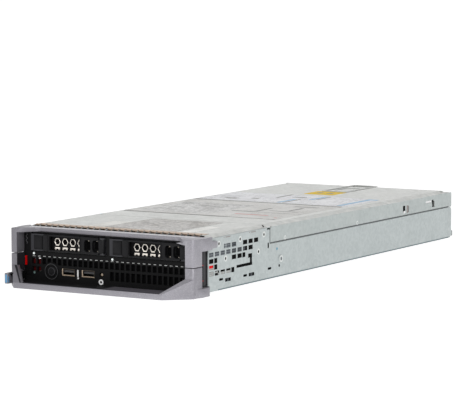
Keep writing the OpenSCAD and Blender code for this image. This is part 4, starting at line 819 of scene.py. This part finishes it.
# Painted sheen: grey rings on the edges of the power button and of the ring round it
power = {"x": -60, "z": 9.55, "ringY": -14.68, "ringRadius": 6.7, "buttonY": -14.48,
         "buttonRadius": 3.3}
gather("powerRingSheen", "outline", "chassis",
       [hoopShape((power["x"], power["ringY"], power["z"]), "-y", power["ringRadius"], 0.55, 0.05,
                  40)])
gather("powerButtonSheen", "outline", "power_button",
       [hoopShape((power["x"], power["buttonY"], power["z"]), "-y", power["buttonRadius"], 0.5,
                  0.05, 32)])

# A bent wire clip on the inner face of the left post: a sine wave that climbs
clip = {"x": -86.2, "y": -14.4, "z": 32.8, "swing": 0.75, "turns": 15.5, "high": 9, "wire": 0.3}
along = np.linspace(0, 1, 48)
clipPath = np.c_[clip["x"] + clip["swing"] * np.sin(along * clip["turns"]), clip["y"] + 0 * along,
                 clip["z"] + clip["high"] * along]
gather("postClip", "slate", "chassis", [wireShape(clipPath, clip["wire"])])
print("front dressed")

# Right side: what shows inside the vents, as painted shade and lit and shaded copies of the cage's
# grid, then screws, marks and seams
sideX = 93.0                       # the outer face of the side
vents = {"pitch": 9.43, "first": -0.4, "long": 7.3, "rowPitch": 5.45, "rowFirst": 13.3,
         "high": 3.9, "grow": 0.2,
         "rows": [[0, 1, 2, 3], [0], [0, 4, 5], range(8), [3, 4, 6, 7, 8]],     # columns by row
         "halves": [(3.95, 0), (0.95, 1), (0.95, 2), (5.95, 2), (2.6, 4)], "halfLong": 0.52,
         "shadeLayer": -0.14, "cage": -0.11, "front": -0.08}         # how deep each layer lies, in mm


# Reach in Y and Z of one vent, or of the part of it given as shares of its length and height
def vent(column, row, left=0.0, right=1.0, bottom=0.0, top=1.0):
    y = vents["first"] + column * vents["pitch"]
    z = vents["rowFirst"] + row * vents["rowPitch"]
    return (y + left * vents["long"] - vents["grow"], y + right * vents["long"] + vents["grow"],
            z + bottom * vents["high"] - vents["grow"], z + top * vents["high"] + vents["grow"])


# Films on the right side, at a height over its face; a row is y0, y1, z0, z1
def sideFilms(name, key, rows, height=0.0, thickness=0.02, radius=0.15, body="chassis"):
    films(name, key, body, "+x", sideX + height, rows, thickness, radius)


fullVents = [vent(c, r) for r, columns in enumerate(vents["rows"]) for c in columns]
halfVents = [vent(c, r, right=vents["halfLong"]) for c, r in vents["halves"]]
tabCut = [(45.2, 71.8, 16.1, 18.5), (67.8, 71.8, 18.5, 22.4), (64.8, 72, 22.4, 26.4)]
lowSlots = [(25.6, 36, 5.8, 9.4), (65.6, 76, 5.8, 9.4)]
wideHalves = [(y0 - 0.3, y0 + 4.6, z0, z1) for y0, _, z0, z1 in halfVents[:4]]
# painted shade in the vents and cut-outs; painted shade and painted light on the cage seen behind
# them
sideFilms("ventHalfShade", "paintedShade", wideHalves + [(45.2, 71.9, 15.9, 18.4)])
sideFilms("ventInteriorShade", "paintedShade", fullVents + halfVents + tabCut + lowSlots,
          vents["shadeLayer"])
sideFilms("ventGrid", "grid",
          [vent(c, 3, right=0.94, top=0.9) for c in range(4)]
          + [vent(3, 4, right=0.94), vent(2.6, 4, right=0.4)], vents["cage"])
sideFilms("ventShade", "shadedGrid",
          [vent(4, 3), vent(5, 3), vent(4, 4, left=0.1), vent(6, 3, right=0.5)]
          + [(y + 3.0, y + 6.4, 6.3, 8.6) for y in (26, 66)], vents["cage"])
sideFilms("ventLit", "litGrid",
          [vent(0, 0, right=0.92, top=0.86), vent(1, 0, right=0.7, top=0.8),
           vent(1, 0, right=0.9, top=0.45), vent(2, 0, right=0.9, top=0.52),
           vent(3, 0, right=0.9, top=0.5), vent(0, 1, top=0.42)], vents["cage"])
sideFilms("ventRed", "brightRed", [vent(0, 1, right=0.84, bottom=0.42)],
          vents["front"])

# Screws and small holes, each at its Y and Z; the boss stands proud of the side. Bright rings on
# the screws, the boss and the dimples are painted highlights; dark centres and holes are painted
# shade
screws = [(16, 40), (51.5, 40.4), (92.5, 40.4), (27, 26.2), (83, 26.2)]
ovals = [(19.2, 9.0), (59.7, 7.8), (102.2, 9.2)]
dimples = [(130, 34), (268, 34)]
boss = {"x": sideX + 0.68, "y": 122, "z": 15.9}
gather("screwRimHighlights", "rim", "chassis",
       [hoopShape((sideX - 0.04, y, z), "+x", 2.0, 1.5, 0.05) for y, z in screws]
       + [hoopShape((boss["x"], boss["y"], boss["z"]), "+x", 2.5, 1.5, 0.06)]
       + [hoopShape((sideX + 0.02, y, z), "+x", 1.5, 0.9, 0.08) for y, z in dimples])
gather("holeShades", "paintedShade", "chassis",
       [plateShape((sideX - 0.05, y - 0.25, z + 0.15), "+x", (2.4, 2.7), 1.1, 0.03)
        for y, z in screws]
       + [plateShape((sideX - 0.02, y, z), "+x", (6.4, 2.1), 1.0, 0.04) for y, z in ovals]
       + [plateShape((sideX - 0.02, 119.5, 9.9), "+x", (2.6, 2.6), 1.2, 0.04),
          plateShape((sideX - 0.02, 100, 29.9), "+x", (2.2, 5.0), 0.8, 0.04)])
gather("bossCentre", "grid", "chassis",
       [plateShape((boss["x"], boss["y"], boss["z"]), "+x", (2.4, 2.8), 1.1, 0.03)])

# The recessed slot behind the bezel's post, and what shows in it; its dark gap is painted shade
slotFloor = -2.58                  # from the outer face
sideFilms("slotPlate", "slate", [(-5.8, 3.4, 5.4, 38)], slotFloor, 0.22, 0.6)
sideFilms("slotGapShade", "paintedShade", [(0.0, 1.6, 30.6, 34.6)], slotFloor + 0.23, 0.03, 0.6)
sideFilms("slotSpecks", "brightRed",
          [(-6.9, -6.0, 23.2, 24.2), (-6.9, -6.0, 10, 11)], slotFloor + 0.23, 0.03, 0.2)

# Marks, and painted shade along the side's bottom bend and in the seams of the cover's flange
sideFilms("tealDot", "teal", [(114.2, 116.8, 24.1, 26.7)],
          thickness=0.04, radius=1.2)
sideFilms("tabMarks", "mark",
          [(27, 35, 44.2, 45.0), (70, 78, 44.2, 45.0), (23.6, 25.2, 44.4, 45.0),
           (66.4, 68, 44.4, 45.0)], thickness=0.03)
sideFilms("bottomBendShade", "edge", [(14, 466, 0.05, 1.05)], radius=0.1)
sideFilms("flangeSeamShadow", "seamShade", [(103.7, 466, 31.35, 32.3)], radius=0.1,
          body="cover")
sideFilms("flangeFrontShadow", "seamShade", [(102.4, 103.4, 31.4, 45.0)],
          thickness=0.03, radius=0.2)

# Pressed tongues near the rear of the cover's flange: a painted highlight on each tongue, painted
# shade below it, and painted shade in the dark slots
sideFilms("tongueHighlight", "white",
          [(413.6, 426, 39.4, 41.4), (364.6, 368.4, 34, 36.2)], 0.0, 0.05, 0.5, "cover")
sideFilms("tongueShade", "mark",
          [(414.4, 424, 37.2, 39.0), (371.6, 374.8, 33.8, 41.2)], 0.0, 0.03, 0.5, "cover")
sideFilms("tongueSlotShade", "paintedShade",
          [(363.4, 368.2, 36.6, 41.4), (427.4, 430.6, 37.2, 41.8)], 0.0, 0.03, 0.3, "cover")

# Painted shade for a notch in the top's sloped edge, just ahead of the cover
notch = [(92.2, 92.6, 46.7), (92.2, 94.4, 46.7), (90.6, 94.4, 48.35), (90.6, 92.6, 48.35)]
gather("seamNotchShade", "paintedShade", "chassis", [sheetOf(notch, 0.06)])
print("side dressed")

# The lens is in mm, angles are in degrees, and spots and sizes are in metres
view = {"lens": 186.55, "azimuth": 30.879, "elevation": 5.716, "roll": -0.093,
        "spot": (1.13626, -1.94567, 0.27934)}
light = {"sky": 0.50, "floorGlow": 0.9,
         "key": {"spot": (0.78, -1.88, 0.94), "size": 0.8, "power": 13.0},
         "back": {"spot": (-1.6, 2.8, 1.5), "size": 3.0, "power": 20.0}}


# The lens looks along the given azimuth (from the front, towards the right) and elevation
def makeCamera():
    a, e, r = (math.radians(view[k]) for k in ("azimuth", "elevation", "roll"))
    back = Vector((math.sin(a) * math.cos(e), -math.cos(a) * math.cos(e), math.sin(e)))
    right = Vector((math.cos(a), math.sin(a), 0))
    up = right.cross(-back)
    turnedRight = right * math.cos(r) + up * math.sin(r)
    turnedUp = up * math.cos(r) - right * math.sin(r)
    lens = bpy.data.cameras.new("camera")
    lens.lens = view["lens"]
    camera = bpy.data.objects.new("camera", lens)
    bpy.context.scene.collection.objects.link(camera)
    turn = Matrix((turnedRight, turnedUp, back)).transposed().to_4x4()
    camera.matrix_world = Matrix.Translation(Vector(view["spot"])) @ turn
    bpy.context.scene.camera = camera


stage = {"half": 40.0, "paper": (paint(150, 150, 150), paint(156, 156, 156))}


# A pale glowing floor under the lowest point, and an even white sky
def makeStage():
    low, half = cadBounds[0].z, stage["half"]
    material, tree, shader, position = startMaterial("floorPaper")
    fibre = addNode(tree, "ShaderNodeTexNoise", Vector=position, Scale=400.0, Detail=3.0)
    fill(shader.inputs["Base Color"], blendColours(tree, fibre.outputs[0], *stage["paper"]))
    fill(shader.inputs["Roughness"], 0.9)
    fill(shader.inputs["Specular IOR Level"], 0.1)
    shader.inputs["Emission Color"].default_value = (1, 1, 1, 1)
    shader.inputs["Emission Strength"].default_value = light["floorGlow"]
    mesh = bpy.data.meshes.new("floor")
    corners = [(-half, -half, low), (half, -half, low), (half, half, low), (-half, half, low)]
    mesh.from_pydata(corners, [], [(0, 1, 2, 3)])
    mesh.materials.append(material)
    floor = bpy.data.objects.new("floor", mesh)
    bpy.context.scene.collection.objects.link(floor)

    world = bpy.data.worlds.new("studio")
    world.use_nodes = True
    sky = world.node_tree.nodes["Background"]
    sky.inputs["Color"].default_value = (1, 1, 1, 1)
    sky.inputs["Strength"].default_value = light["sky"]
    bpy.context.scene.world = world


# An area lamp that faces the middle of the server
def softBox(name, spot, size, power):
    lamp = bpy.data.lights.new(name, "AREA")
    lamp.shape = "RECTANGLE"
    lamp.size = size
    lamp.size_y = size * 0.7
    lamp.energy = power
    box = bpy.data.objects.new(name, lamp)
    bpy.context.scene.collection.objects.link(box)
    box.location = spot
    box.rotation_euler = (-Vector(spot)).to_track_quat("-Z", "Y").to_euler()


makeCamera()
makeStage()
for name in ("key", "back"):
    softBox(name + "Light", **light[name])
bpy.context.scene.view_settings.view_transform = "Standard"
print("stage made")
